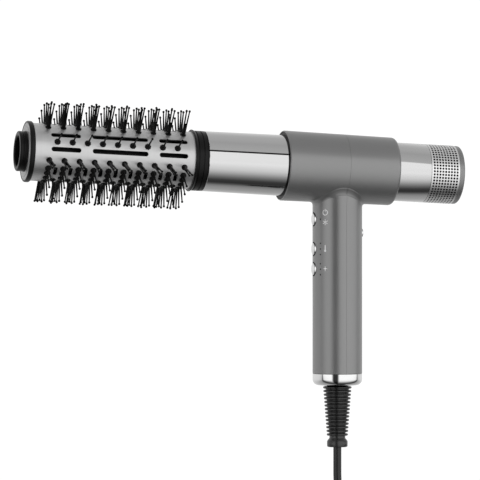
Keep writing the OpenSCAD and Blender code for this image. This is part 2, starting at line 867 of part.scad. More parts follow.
module single_bristles() {
    for (half = [0, 180]) {
        for (i = [0:tufts - 2]) at_bristle(i + 0.5, half + slot_zone) children();
        for (row = dense_rows) for (i = [0:tufts - (row[1] > 0 ? 2 : 1)])
            at_bristle(i + row[1], half + dense_zone + row[0]) children();
    }
}

module tufts_of_bristles() {
    for (half = [0, 180]) for (side = [-1, 1]) for (i = [0:tufts - 1])
        at_bristle(i, half + slot_zone + side * tuft_offset) children();
}

module bristle_feet() {
    color("#141414") single_bristles() translate([0, 0, -root_depth])
        cylinder(r = foot_r, h = foot_h + root_depth, $fn = 24);
}

module pin_bristles() {
    pin_start = foot_h + 0.3;
    color("#0f0f0f") single_bristles() translate([0, 0, pin_start])
        cylinder(r = pin_r, h = pin_h - pin_start, $fn = 24);
}

module tuft_bristles() {
    color("#0c0c0c") tufts_of_bristles() {
        translate([0, 0, -root_depth]) cylinder(r1 = 1.2, r2 = 2.1, h = fill_h + root_depth, $fn = 24);
        for (turn = [45:90:315]) rotate([0, 0, turn]) translate([1.6, 0, 0]) rotate([0, tuft_fan, 0])
            translate([0.55, 0, -root_depth]) cylinder(r = tuft_pin_r, h = tuft_h + root_depth, $fn = 24);
    }
}

module tip_flange() {
    edge = 0.8;
    color("#1e1e1e") turned([
        [brush_front_x - 0.02, tip_d / 2 - 2], [brush_front_x - 0.02, flange_d / 2 - edge],
        [brush_front_x - edge, flange_d / 2], [flange_front_x + edge, flange_d / 2],
        [flange_front_x + 0.2, flange_d / 2 - edge], [flange_front_x + 0.2, flange_d / 2 - 1.4],
        [flange_front_x + 1.4, flange_d / 2 - 1.4], [flange_front_x + 1.4, tip_d / 2 - 2]
    ]);
}

module flange_face() {
    color("#c2c2c2") turned([
        [flange_front_x, tip_d / 2 + fit_gap], [flange_front_x, flange_d / 2 - 3.2],
        [flange_front_x + 0.3, flange_d / 2 - 3.2], [flange_front_x + 0.3, flange_d / 2 - 1.4 - fit_gap],
        [flange_front_x + 1.35, flange_d / 2 - 1.4 - fit_gap], [flange_front_x + 1.35, tip_d / 2 + fit_gap]
    ]);
}

module cool_tip() {
    edge = 0.8;
    tip_r = tip_d / 2;
    floor_x = tip_floor_x;
    color("#181818") turned([
        [tip_x + edge, tip_r], [flange_front_x + 1.4, tip_r], [flange_front_x + 1.4, tip_r - 2 - fit_gap],
        [floor_x + 1.2, tip_r - 2 - fit_gap], [floor_x + 1.2, 0], [floor_x, 0], [floor_x, tip_bore_d / 2],
        [tip_x, tip_bore_d / 2], [tip_x, tip_r - edge]
    ]);
}

// ---- Mains lead ----

// Tube swept along points, heights counted from the end of the strain relief
module swept_tube(points, r, sides = 12) {
    last = len(points) - 1;
    function heading(i) = let (d = points[min(i + 1, last)] - points[max(i - 1, 0)]) d / norm(d);
    function side_of(i) = let (s = cross(heading(i), [0, 1, 0])) s / norm(s);
    rings = [for (i = [0:last]) let (u = side_of(i), v = cross(heading(i), u))
        for (k = [0:sides - 1]) points[i] + r * (cos(360 * k / sides) * u + sin(360 * k / sides) * v)];
    faces = concat(
        [[for (k = [0:sides - 1]) k]],
        [for (i = [0:last - 1]) for (k = [0:sides - 1])
            [i * sides + k, (i + 1) * sides + k,
             (i + 1) * sides + (k + 1) % sides, i * sides + (k + 1) % sides]],
        [[for (k = [sides - 1:-1:0]) last * sides + k]]
    );
    polyhedron(points = rings, faces = faces, convexity = 4);
}

module mains_cord() {
    color("#1a1a1a") union() {
        translate([0, 0, relief_end]) swept_tube(drop_points, cord_r);
        translate([0, 0, relief_end]) swept_tube(tail_points, cord_r);
        translate([0, 0, relief_end]) cylinder(r = cord_r, h = handle_bottom + 12 - relief_end);
    }
}

// Half width of the hank at a height, from its waist to the loops
function hank_y(z) = let (t = min(1, abs(z - hank_mid) / (hank_top - hank_mid)))
    waist + (loop_r - waist) * (1 - cos(180 * t)) / 2 + cord_r;

module cord_hank() {
    steps = 8;
    side = [
        for (i = [-steps + 1:steps - 1]) let (z = hank_mid + (hank_top - hank_mid) * i / steps) [hank_y(z), z]
    ];
    outline = concat(
        arc([0, hank_low], loop_r + cord_r, -180, 0, 20),
        side,
        arc([0, hank_top], loop_r + cord_r, 0, 180, 20),
        [for (i = [len(side) - 1:-1:0]) [-side[i][0], side[i][1]]]
    );
    color("#1c1c1c") translate([-cord_r - hank_skin, 0, relief_end]) rotate([90, 0, 90])
        linear_extrude(height = turn_pitch * (turns - 1) + 2 * (cord_r + hank_skin)) polygon(outline);
}

module cord_tie() {
    x0 = -cord_r - hank_skin - fit_gap;
    x1 = turn_pitch * turns + cord_r + 1.1;
    half_w = hank_y(hank_mid + tie_h / 2) + 0.25;
    color("#2c2c2c") translate([0, 0, relief_end + hank_mid - tie_h / 2]) difference() {
        translate([x0 - tie_t, -half_w - tie_t, 0])
            cube([x1 - x0 + 2 * tie_t, 2 * (half_w + tie_t), tie_h]);
        translate([x0, -half_w, -1]) cube([x1 - x0, 2 * half_w, tie_h + 2]);
    }
}

module plug_body() {
    shoulder = 13;
    top = -plug_relief_len;
    color("#1b1b1b") translate([0, 0, relief_end]) translate(plug_at) union() {
        translate([0, 0, top - 1]) cylinder(r1 = 6, r2 = 4.6, h = plug_relief_len + 1);
        intersection() {
            rotate_extrude() polygon([
                [0, top], [8, top], [13, top - 4], [plug_r, top - shoulder], [plug_r, top - plug_len],
                [0, top - plug_len]
            ]);
            translate([-plug_t / 2, -plug_r - 1, top - plug_len - 1])
                cube([plug_t, 2 * plug_r + 2, plug_len + 2]);
        }
    }
}

module plug_pins() {
    face = -plug_relief_len - plug_len;
    color("#c9b27a") translate([0, 0, relief_end]) translate(plug_at) for (side = [-1, 1])
        translate([0, side * plug_pin_span / 2, face]) rotate_extrude() polygon([
            [0, 0], [plug_pin_r, 0], [plug_pin_r, -plug_pin_len + 1.6], [plug_pin_r - 1.2, -plug_pin_len],
            [0, -plug_pin_len]
        ]);
}

front_shell();
rear_shell();
rear_tube();
socket_liner();
socket_magnets();
air_duct();
heater_frame();
heater_coil();
heater_wrap();
thermal_cutoff();
ion_needle();
ion_generator();
motor_mount();
motor_casing();
motor_end_plate();
motor_stator();
motor_windings();
motor_bearings();
rotor_shaft();
rotor_magnet();
impeller();
intake_cage();
cover_magnet();
intake_ring();
intake_mesh();
end_cap();
control_board();
board_parts();
push_switches();
status_lights();
button_guide();
cool_guide();
small_screws();
supply_wires();
cord_clamp();
base_plate();
base_ring();
strain_relief();
power_button();
temperature_button();
speed_button();
cool_shot_button();
adapter_tube();
adapter_core();
latch_ring();
adapter_seal();
lock_collar();
brush_core();
brush_barrel();
bristle_feet();
pin_bristles();
tuft_bristles();
tip_flange();
flange_face();
cool_tip();
mains_cord();
cord_hank();
cord_tie();
plug_body();
plug_pins();
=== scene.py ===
# Looks for the hair dryer with its round thermal brush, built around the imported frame
import json
import math
import random

import bmesh
import bpy
from mathutils import Matrix, Vector


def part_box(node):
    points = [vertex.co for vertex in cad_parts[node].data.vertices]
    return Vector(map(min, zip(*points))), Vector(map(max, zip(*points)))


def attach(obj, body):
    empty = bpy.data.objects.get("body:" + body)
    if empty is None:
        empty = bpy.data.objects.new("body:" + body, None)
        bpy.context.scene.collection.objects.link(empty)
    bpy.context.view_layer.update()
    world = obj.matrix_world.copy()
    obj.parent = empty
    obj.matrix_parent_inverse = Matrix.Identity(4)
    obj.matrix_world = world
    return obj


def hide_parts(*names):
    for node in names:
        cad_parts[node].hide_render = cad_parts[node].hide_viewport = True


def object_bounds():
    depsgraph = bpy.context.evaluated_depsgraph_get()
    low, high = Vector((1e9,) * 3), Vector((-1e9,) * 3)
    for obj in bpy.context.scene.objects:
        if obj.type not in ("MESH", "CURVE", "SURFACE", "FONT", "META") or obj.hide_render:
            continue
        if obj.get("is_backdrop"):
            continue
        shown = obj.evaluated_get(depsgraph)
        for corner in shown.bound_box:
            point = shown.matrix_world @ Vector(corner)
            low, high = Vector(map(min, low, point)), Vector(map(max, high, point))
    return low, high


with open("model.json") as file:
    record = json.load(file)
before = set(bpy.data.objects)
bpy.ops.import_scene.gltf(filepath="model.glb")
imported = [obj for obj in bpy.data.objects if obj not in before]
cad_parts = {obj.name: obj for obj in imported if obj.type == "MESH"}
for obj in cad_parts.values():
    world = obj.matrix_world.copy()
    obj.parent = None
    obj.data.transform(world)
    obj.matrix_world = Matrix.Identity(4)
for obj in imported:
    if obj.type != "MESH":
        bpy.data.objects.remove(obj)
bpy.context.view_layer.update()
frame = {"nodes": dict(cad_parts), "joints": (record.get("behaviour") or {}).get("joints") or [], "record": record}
nodes = frame["nodes"]
mm = 0.001
dice = random.Random(7)
print("frame loaded:", len(nodes), "nodes")

# Camera
cameraSettings = dict(place=(-0.7254, -2.5013, 0.0576), look=(0.25094, 0.96800, 0.00141), lens=255,
                      sensor=36, far=100)

camera = bpy.data.objects.new("camera", bpy.data.cameras.new("camera"))
camera.data.sensor_width = cameraSettings["sensor"]
camera.data.lens = cameraSettings["lens"]
camera.data.clip_end = cameraSettings["far"]
camera.location = cameraSettings["place"]
camera.rotation_euler = Vector(cameraSettings["look"]).to_track_quat("-Z", "Y").to_euler()
bpy.context.scene.collection.objects.link(camera)
bpy.context.scene.camera = camera
bpy.context.scene.view_settings.view_transform = "Standard"

# Where the barrel lies
fanJoint = next(j for j in frame["joints"] if j["name"] == "fan_spin")
barrelAxis = Vector(fanJoint["axis"])
barrelTilt = math.atan2(-barrelAxis.z, barrelAxis.x)
fanPlace = Vector(fanJoint["pos_m"])
barrelCentre = fanPlace - barrelAxis * (fanPlace.x / barrelAxis.x)  # where it crosses the handle's axis
toBarrel = Matrix.Translation(barrelCentre) @ Matrix.Rotation(barrelTilt, 4, "Y")
fromBarrel = toBarrel.inverted()


# Front, rear, outer and inner radius of a node along the barrel
def spanOf(node):
    places = [fromBarrel @ v.co for v in nodes[node].data.vertices]
    radii = [math.hypot(p.y, p.z) for p in places]
    along = [p.x for p in places]
    return dict(front=min(along), rear=max(along), outer=max(radii), inner=min(radii))


# Mains lead
leadSettings = dict(
    diameter=6.4 * mm, length=1.8, turns=5, pitch=6.5, loop=20, waist=3.3, top=-53, low=-149,
    perLoop=8, perSide=4, roundness=4,
    drop=[(0, 0, 0), (0, 0, -10), (0, 0, -20), (0, 0, -27), (-1.6, 0, -34), (-1.8, -0.6, -48),
          (-1.2, -2, -66), (-0.4, -3.1, -85)],
    tail=[(33, -3.3, -102), (33.5, -3.3, -113), (38.5, -3.3, -125), (43.5, -3.3, -137), (44.5, -3.3, -146)])


# Points (y, z) of one turn of the tied hank, from its waist down and round
def hankTurn(s):
    middle = (s["top"] + s["low"]) / 2
    reach = lambda t: s["waist"] + (s["loop"] - s["waist"]) * (1 - math.cos(math.pi * t)) / 2
    sides, loops = s["perSide"], s["perLoop"]
    points = [(-reach(i / sides), middle + (s["low"] - middle) * i / sides) for i in range(sides)]
    for i in range(loops):
        a = math.pi * (1 + i / loops)
        points.append((s["loop"] * math.cos(a), s["low"] + s["loop"] * math.sin(a)))
    points += [(reach(1 - i / sides), middle + (s["low"] - middle) * (1 - i / sides)) for i in range(sides)]
    points += [(reach(i / sides), middle + (s["top"] - middle) * i / sides) for i in range(sides)]
    for i in range(loops):
        a = math.pi * i / loops
        points.append((s["loop"] * math.cos(a), s["top"] + s["loop"] * math.sin(a)))
    points += [(-reach(1 - i / sides), middle + (s["top"] - middle) * (1 - i / sides)) for i in range(sides)]
    return points


def makeLead(s):
    exitPoint = Vector((0, 0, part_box("strain_relief")[0].z))
    turn = hankTurn(s)
    route = list(s["drop"])
    for k in range(s["turns"] * len(turn)):
        y, z = turn[k % len(turn)]
        route.append((s["pitch"] * k / len(turn), y, z))
    route += s["tail"]
    curve = bpy.data.curves.new("mains_lead", "CURVE")
    curve.dimensions = "3D"
    curve.bevel_depth = s["diameter"] / 2
    curve.bevel_resolution = curve.resolution_u = s["roundness"]
    spline = curve.splines.new("BEZIER")
    spline.bezier_points.add(len(route) - 1)
    for point, place in zip(spline.bezier_points, route):
        point.co = exitPoint + Vector(place) * mm
        point.handle_left_type = point.handle_right_type = "AUTO"
    lead = bpy.data.objects.new("mains_lead", curve)
    bpy.context.scene.collection.objects.link(lead)
    return lead, exitPoint


mainsLead, leadExit = makeLead(leadSettings)
print("mains lead laid out")


# Surface effects that the materials share
def nodeGroup(name, inputs, outputs):
    group = bpy.data.node_groups.new(name, "ShaderNodeTree")
    for label, kind, value in inputs:
        socket = group.interface.new_socket(label, in_out="INPUT", socket_type=kind)
        socket.default_value = value
    for label, kind in outputs:
        group.interface.new_socket(label, in_out="OUTPUT", socket_type=kind)
    return group, group.nodes.new("NodeGroupInput"), group.nodes.new("NodeGroupOutput")


# Fine moulded or sprayed grain: a height for bump and a slow mask for colour and gloss
def makeGrain():
    group, into, out = nodeGroup(
        "fineGrain",
        [("Scale", "NodeSocketFloat", 900.0), ("Patch", "NodeSocketFloat", 22.0)],
        [("Height", "NodeSocketFloat"), ("Mask", "NodeSocketFloat")])
    place = group.nodes.new("ShaderNodeTexCoord")
    fine = group.nodes.new("ShaderNodeTexNoise")
    fine.inputs["Detail"].default_value = 3
    slow = group.nodes.new("ShaderNodeTexNoise")
    slow.inputs["Detail"].default_value = 4
    slow.inputs["Roughness"].default_value = 0.6
    group.links.new(place.outputs["Object"], fine.inputs["Vector"])
    group.links.new(place.outputs["Object"], slow.inputs["Vector"])
    group.links.new(into.outputs["Scale"], fine.inputs["Scale"])
    group.links.new(into.outputs["Patch"], slow.inputs["Scale"])
    group.links.new(fine.outputs["Fac"], out.inputs["Height"])
    group.links.new(slow.outputs["Fac"], out.inputs["Mask"])
    return group


# Lines left by a brushing belt: noise drawn out across the direction of Fine
def makeBrushing():
    group, into, out = nodeGroup(
        "beltLines",
        [("Fine", "NodeSocketVector", (900.0, 12.0, 12.0)), ("Turn", "NodeSocketVector", (0.0, 0.0, 0.0))],
        [("Height", "NodeSocketFloat"), ("Mask", "NodeSocketFloat")])
    place = group.nodes.new("ShaderNodeTexCoord")
    turn = group.nodes.new("ShaderNodeMapping")
    stretch = group.nodes.new("ShaderNodeMapping")
    lines = group.nodes.new("ShaderNodeTexNoise")
    lines.inputs["Scale"].default_value = 1
    lines.inputs["Detail"].default_value = 4
    broad = group.nodes.new("ShaderNodeTexNoise")
    broad.inputs["Scale"].default_value = 0.12
    broad.inputs["Detail"].default_value = 2
    group.links.new(place.outputs["Object"], turn.inputs["Vector"])
    group.links.new(into.outputs["Turn"], turn.inputs["Rotation"])
    group.links.new(turn.outputs["Vector"], stretch.inputs["Vector"])
    group.links.new(into.outputs["Fine"], stretch.inputs["Scale"])
    group.links.new(stretch.outputs["Vector"], lines.inputs["Vector"])
    group.links.new(stretch.outputs["Vector"], broad.inputs["Vector"])
    group.links.new(lines.outputs["Fac"], out.inputs["Height"])
    group.links.new(broad.outputs["Fac"], out.inputs["Mask"])
    return group


# Small bright or dark flecks, as in metallic paint, ferrite or board print
def makeSpecks():
    group, into, out = nodeGroup(
        "flecks", [("Scale", "NodeSocketFloat", 1400.0)], [("Mask", "NodeSocketFloat")])
    place = group.nodes.new("ShaderNodeTexCoord")
    cells = group.nodes.new("ShaderNodeTexVoronoi")
    rise = group.nodes.new("ShaderNodeMapRange")
    rise.inputs["From Min"].default_value = 0.05
    rise.inputs["From Max"].default_value = 0.45
    rise.inputs["To Min"].default_value = 1
    rise.inputs["To Max"].default_value = 0
    group.links.new(place.outputs["Object"], cells.inputs["Vector"])
    group.links.new(into.outputs["Scale"], cells.inputs["Scale"])
    group.links.new(cells.outputs["Distance"], rise.inputs["Value"])
    group.links.new(rise.outputs["Result"], out.inputs["Mask"])
    return group


fineGrain, beltLines, flecks = makeGrain(), makeBrushing(), makeSpecks()


finishSettings = dict(colour=(0.28, 0.72), gloss=(0.3, 0.7))


# A material whose colour (low to high) and roughness (a pair) vary over an effect's mask
def finish(name, low, high, rough, metallic=0.0, effect=None, values=None, bump=0.1, depth=0.05, **sockets):
    material = bpy.data.materials.new(name)
    material.use_nodes = True
    tree = material.node_tree
    shader = tree.nodes["Principled BSDF"]
    shader.inputs["Metallic"].default_value = metallic
    for label, value in sockets.items():
        shader.inputs[label.replace("_", " ")].default_value = value
    group = tree.nodes.new("ShaderNodeGroup")
    group.node_tree = effect or fineGrain
    for label, value in (values or {}).items():
        group.inputs[label].default_value = value
    colour = tree.nodes.new("ShaderNodeValToRGB")
    for stop, place, tone in zip(colour.color_ramp.elements, finishSettings["colour"], (low, high)):
        stop.position = place
        stop.color = (*tone, 1)
    gloss = tree.nodes.new("ShaderNodeMapRange")
    for label, value in zip(("From Min", "From Max", "To Min", "To Max"), (*finishSettings["gloss"], *rough)):
        gloss.inputs[label].default_value = value
    tree.links.new(group.outputs["Mask"], colour.inputs["Fac"])
    tree.links.new(group.outputs["Mask"], gloss.inputs["Value"])
    tree.links.new(colour.outputs["Color"], shader.inputs["Base Color"])
    tree.links.new(gloss.outputs["Result"], shader.inputs["Roughness"])
    if "Height" in group.outputs:
        relief = tree.nodes.new("ShaderNodeBump")
        relief.inputs["Strength"].default_value = bump
        relief.inputs["Distance"].default_value = depth * mm
        tree.links.new(group.outputs["Height"], relief.inputs["Height"])
        tree.links.new(relief.outputs["Normal"], shader.inputs["Normal"])
    return material


grey = lambda v: (v, v, v)
across = dict(Fine=(1500.0, 9.0, 9.0), Turn=(0.0, -barrelTilt, 0.0))
alongBarrel = dict(Fine=(6.0, 900.0, 900.0), Turn=(0.0, -barrelTilt, 0.0))
paint = finish("satinPaint", grey(0.27), grey(0.295), (0.3, 0.36), 0.72,
               values=dict(Scale=2600.0, Patch=9.0), bump=0.08, depth=0.02)
steel = finish("polishedSteel", grey(0.62), grey(0.68), (0.07, 0.12), 1,
               beltLines, alongBarrel, bump=0.05, depth=0.02)
perforated = finish("perforatedSteel", grey(0.86), grey(0.92), (0.3, 0.4), 1,
                    beltLines, across, bump=0.05, depth=0.02)
anodised = finish("anodisedAluminium", grey(0.6), grey(0.66), (0.32, 0.38), 0.88,
                  beltLines, across, bump=0.08, depth=0.02)
chrome = finish("chromePlate", grey(0.82), grey(0.86), (0.04, 0.07), 1,
                values=dict(Scale=300.0, Patch=40.0), bump=0.01)
blackPlastic = finish("blackPlastic", grey(0.004), grey(0.007), (0.38, 0.48),
                      values=dict(Scale=1600.0), bump=0.12, Specular_IOR_Level=0.25)
greyPlastic = finish("greyPlastic", grey(0.05), grey(0.075), (0.4, 0.5), values=dict(Scale=1400.0), bump=0.12)
rubber = finish("mouldedRubber", grey(0.006), grey(0.011), (0.36, 0.5), values=dict(Scale=1100.0), bump=0.15)
leadSkin = finish("leadSkin", grey(0.006), grey(0.011), (0.2, 0.28), values=dict(Scale=700.0), bump=0.08)
nylon = finish("bristleNylon", grey(0.003), grey(0.006), (0.4, 0.5), values=dict(Scale=2000.0), bump=0.05,
               Specular_IOR_Level=0.15)
blackGloss = finish("blackGloss", grey(0.004), grey(0.007), (0.26, 0.34),
                    values=dict(Scale=1500.0), bump=0.06, Specular_IOR_Level=0.2)
reliefRubber = finish("reliefRubber", grey(0.008), grey(0.014), (0.25, 0.34),
                      values=dict(Scale=1100.0), bump=0.08, Specular_IOR_Level=0.8)
flangeGrey = finish("flangeGrey", grey(0.4), grey(0.46), (0.32, 0.4), 0.7,
                    values=dict(Scale=1400.0), bump=0.06)
castAlloy = finish("castAlloy", grey(0.42), grey(0.55), (0.32, 0.45), 1, flecks, dict(Scale=2400.0))
lightPipe = finish("lightPipe", grey(0.012), grey(0.02), (0.2, 0.3), values=dict(Scale=500.0), bump=0.02)
printInk = finish("printInk", grey(0.93), grey(0.98), (0.45, 0.55), values=dict(Scale=900.0), bump=0.03)
mica = finish("micaSheet", (0.5, 0.42, 0.27), (0.66, 0.58, 0.4), (0.35, 0.55),
              values=dict(Scale=400.0, Patch=160.0))
ceramic = finish("glazedCeramic", (0.74, 0.71, 0.66), (0.82, 0.8, 0.76), (0.25, 0.4),
                 values=dict(Scale=600.0))
copper = finish("enamelledCopper", (0.42, 0.16, 0.06), (0.62, 0.28, 0.12), (0.25, 0.4), 0.9, beltLines,
                dict(Fine=(2200.0, 60.0, 60.0)), bump=0.4, depth=0.1)
boardGreen = finish("boardGreen", (0.01, 0.08, 0.04), (0.02, 0.16, 0.08), (0.25, 0.4), 0,
                    flecks, dict(Scale=420.0))
magnetGrey = finish("magnetPlating", grey(0.35), grey(0.5), (0.25, 0.4), 1, flecks, dict(Scale=1800.0))
wireRed = finish("wireSleeve", (0.28, 0.02, 0.015), (0.4, 0.05, 0.03), (0.35, 0.5), values=dict(Scale=800.0))
brass = finish("plugBrass", (0.6, 0.46, 0.22), (0.72, 0.56, 0.3), (0.18, 0.32), 1, beltLines,
               dict(Fine=(40.0, 40.0, 900.0)))
silicone = finish("sealSilicone", (0.26, 0.03, 0.02), (0.36, 0.06, 0.04), (0.4, 0.55),
                  values=dict(Scale=900.0))
print("materials ready")


# Modelling helpers
def asMesh(bm, name):
    mesh = bpy.data.meshes.new(name)
    bm.to_mesh(mesh)
    bm.free()
    return mesh


def asObject(bm, name):
    thing = bpy.data.objects.new(name, asMesh(bm, name))
    bpy.context.scene.collection.objects.link(thing)
    return thing


def shadeSmooth(mesh, sharp=32):
    for face in mesh.polygons:
        face.use_smooth = True
    mesh.set_sharp_from_angle(angle=math.radians(sharp))


# Turns a bmesh into a finished piece that rides on a body
def keep(bm, name, body, material, slot, replaces=(), **shading):
    piece = asObject(bm, name)
    shadeSmooth(piece.data, **shading)
    piece.data.materials.append(material)
    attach(piece, body)
    if replaces:
        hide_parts(*replaces)
    return piece


# Moves a finished part into a larger bmesh
def absorb(bm, part):
    mesh = asMesh(part, "part")
    bm.from_mesh(mesh)
    bpy.data.meshes.remove(mesh)


def bevelAt(bm, geom, offset, segments, affect="VERTICES", **more):
    return bmesh.ops.bevel(bm, geom=geom, offset=offset, offset_type="OFFSET", segments=segments, profile=0.5,
                           affect=affect, material=-1, **more)


def roundOff(bm, width, segments=2, angle=35):
    edges = [e for e in bm.edges if e.is_manifold and e.calc_face_angle(0) > math.radians(angle)]
    bevelAt(bm, edges, width, segments, "EDGES", clamp_overlap=True)


# Spins a profile of (x, radius) in millimetres about the X axis
def lathe(profile, steps=96, start=0.0, sweep=2 * math.pi, soften=0.0, closed=True):
    bm = bmesh.new()
    full = abs(sweep - 2 * math.pi) < 1e-6
    corners = [bm.verts.new((x * mm, -math.sin(start) * r * mm, math.cos(start) * r * mm))
               for x, r in profile]
    edges = [bm.edges.new((a, b)) for a, b in zip(corners, corners[1:])]
    if closed:
        edges.append(bm.edges.new((corners[-1], corners[0])))
    geom = corners + edges
    if closed and not full:
        geom.insert(0, bm.faces.new(corners))
    bmesh.ops.spin(bm, geom=geom, cent=(0, 0, 0), axis=(1, 0, 0), angle=sweep, steps=steps,
                   use_merge=full, use_duplicate=False)
    bmesh.ops.remove_doubles(bm, verts=bm.verts, dist=1e-7)
    bmesh.ops.recalc_face_normals(bm, faces=bm.faces)
    if soften:
        roundOff(bm, soften * mm)
    return bm


def onBarrel(bm):
    bmesh.ops.transform(bm, matrix=toBarrel, verts=bm.verts)
    return bm


# Lathe work for the handle: its X axis stands up along +Z
def onHandle(bm):
    bmesh.ops.transform(bm, matrix=Matrix.Rotation(-math.pi / 2, 4, "Y"), verts=bm.verts)
    return bm


def arc(x, r, size, a0, a1, count=6):
    turn = [math.radians(a0 + (a1 - a0) * i / count) for i in range(count + 1)]
    return [(x + size * math.cos(t), r + size * math.sin(t)) for t in turn]


def inMm(span):
    return {key: value / mm for key, value in span.items()}


# Tubes of the barrel
tubeSettings = dict(steps=128, seamAngle=19.4, seamWidth=1.3, wall=0.8, rim=0.25)


def makeAdapterTube(s):
    span, sleeve = inMm(spanOf("adapter_tube")), inMm(spanOf("front_shell"))
    front, rear, mouth = span["front"], span["rear"], sleeve["front"]
    tight, wide, wall = span["inner"] + s["wall"], span["outer"], s["wall"]
    profile = [(front, tight - wall), (front, tight - s["rim"]), (front + s["rim"], tight), (mouth, wide),
               (rear, wide), (rear, wide - wall), (mouth, wide - wall)]
    # The skin is rolled from sheet: its edges meet in a fine line on the upper side
    gap = s["seamWidth"] / wide
    start = math.radians(90 - s["seamAngle"]) + gap / 2
    bm = lathe(profile, s["steps"], start, 2 * math.pi - gap)
    return keep(onBarrel(bm), "adapter_skin", "adapter", steel, "steel", ["adapter_tube"])


def makeRearTube(s):
    span = inMm(spanOf("rear_tube"))
    bore, skin = span["outer"] - s["wall"], span["outer"]
    bm = lathe([(span["front"], bore), (span["front"], skin), (span["rear"], skin), (span["rear"], bore)],
               s["steps"], soften=s["rim"])
    return keep(onBarrel(bm), "rear_skin", "dryer", steel, "steel", ["rear_tube"])


makeAdapterTube(tubeSettings)
makeRearTube(tubeSettings)

# Perforated intake ring and the cap behind it
ringSettings = dict(columns=9, around=60, margin=0.9, open=0.54, corner=0.27, thick=0.6)
capSettings = dict(edge=1.9, lip=0.5, tongue=1.4, wall=0.8, bevel=0.15, gap=0.05, dish=4.2, dishDepth=0.35,
                   dishEdge=0.3)


def makeIntakeRing(s):
    span = inMm(spanOf("intake_ring"))
    radius = span["outer"]
    front, rear = span["front"] + s["margin"], span["rear"] - s["margin"]
    cellX, cellY = (rear - front) / s["columns"], 2 * math.pi / s["around"] * radius
    bm = bmesh.new()
    bmesh.ops.create_grid(bm, x_segments=s["columns"], y_segments=s["around"], size=0.5)
    bmesh.ops.scale(bm, vec=(rear - front, 2 * math.pi * radius, 1), verts=bm.verts)
    cells = bm.faces[:]
    size = min(cellX, cellY)
    bmesh.ops.inset_individual(bm, faces=cells, thickness=size * (1 - s["open"]) / 2)
    corners = list({v for f in cells for v in f.verts})
    bevelAt(bm, corners, size * s["open"] * s["corner"], 1)
    holes = [f for f in bm.faces if len(f.verts) == 8]
    bmesh.ops.delete(bm, geom=holes, context="FACES")
    ends = [e for e in bm.edges if e.is_boundary and abs(abs(e.verts[0].co.x) - (rear - front) / 2) < 1e-6
            and abs(abs(e.verts[1].co.x) - (rear - front) / 2) < 1e-6]
    rim = bmesh.ops.extrude_edge_only(bm, edges=ends)["geom"]
    for v in (g for g in rim if isinstance(g, bmesh.types.BMVert)):
        v.co.x += math.copysign(s["margin"], v.co.x)
    for v in bm.verts:
        turn = v.co.y / radius
        x = (front + rear) / 2 + v.co.x
        v.co = (x * mm, -math.sin(turn) * radius * mm, math.cos(turn) * radius * mm)
    bmesh.ops.remove_doubles(bm, verts=bm.verts, dist=1e-6)
    bmesh.ops.recalc_face_normals(bm, faces=bm.faces)
    middles = [f.calc_center_median() for f in bm.faces]
    if sum(f.normal.dot(Vector((0, m.y, m.z))) for f, m in zip(bm.faces, middles)) < 0:
        bmesh.ops.reverse_faces(bm, faces=bm.faces)
    bmesh.ops.solidify(bm, geom=bm.faces[:], thickness=s["thick"] * mm)
    return keep(onBarrel(bm), "intake_sheet", "intake_cover", perforated, "steel", ["intake_ring"])


def makeEndCap(s):
    span, edge, bevel, wall = inMm(spanOf("end_cap")), s["edge"], s["bevel"], s["wall"]
    lip, skin, rear = inMm(spanOf("intake_mesh"))["outer"] - s["lip"], span["outer"], span["rear"]
    seat = inMm(spanOf("intake_ring"))["rear"] + s["gap"]
    tongue, floor = seat - s["tongue"], rear - s["dishDepth"]
    profile = [(tongue, lip - wall), (tongue, lip), (seat, lip), (seat, skin - bevel), (seat + bevel, skin)]
    profile += arc(rear - edge, skin - edge, edge, 90, 0, 8)
    profile += [(rear, s["dish"]), (floor, s["dish"] - s["dishEdge"]), (floor, 0), (seat, 0),
                (seat, lip - wall)]
    return keep(onBarrel(lathe(profile, 96)), "rear_cap", "intake_cover", paint, "housing", ["end_cap"])


makeIntakeRing(ringSettings)
makeEndCap(capSettings)
print("barrel rear done")

# Lock collar, flange and cool tip of the brush
# groove and flare places in fifths of the length, from the rear
collarSettings = dict(groove=0.7, grooves=(1.75, 3.75), flare=(4.3, 4.6), lip=0.7, edge=0.3, mouth=0.4)
flangeSettings = dict(edge=1.1, corner=1, bevel=0.3, gap=0.05, recess=0.4, step=1.2)
# the ridges' places as a share of the way from the flange to the front
tipSettings = dict(edge=1.1, mouth=0.8, ridge=0.5, ridges=(0.36, 0.58), ridgeHalf=(0.5, 0.25),
                   root=2.1, floor=1.2)


def makeCollar(s):
    span = inMm(spanOf("lock_collar"))
    rear, front = span["rear"], span["front"]
    skin, bore = span["outer"] - s["lip"], span["inner"]
    fifth = (rear - front) / 5
    profile = [(rear, bore + s["mouth"]), (rear, skin - s["edge"]), (rear - s["edge"], skin)]
    for centre in (rear - place * fifth for place in s["grooves"]):
        half = fifth / 4
        profile += [(centre + half, skin), (centre + half * 0.8, skin - s["groove"]),
                    (centre - half * 0.8, skin - s["groove"]), (centre - half, skin)]
    low, high = (rear - place * fifth for place in s["flare"])
    crest = skin + s["lip"]
    profile += [(low, skin + s["lip"] * 0.4), (high, crest), (front + s["edge"], crest),
                (front, crest - s["edge"]), (front, bore)]
    return keep(onBarrel(lathe(profile, 96)), "collar", "brush", blackGloss, "black_plastic", ["lock_collar"])


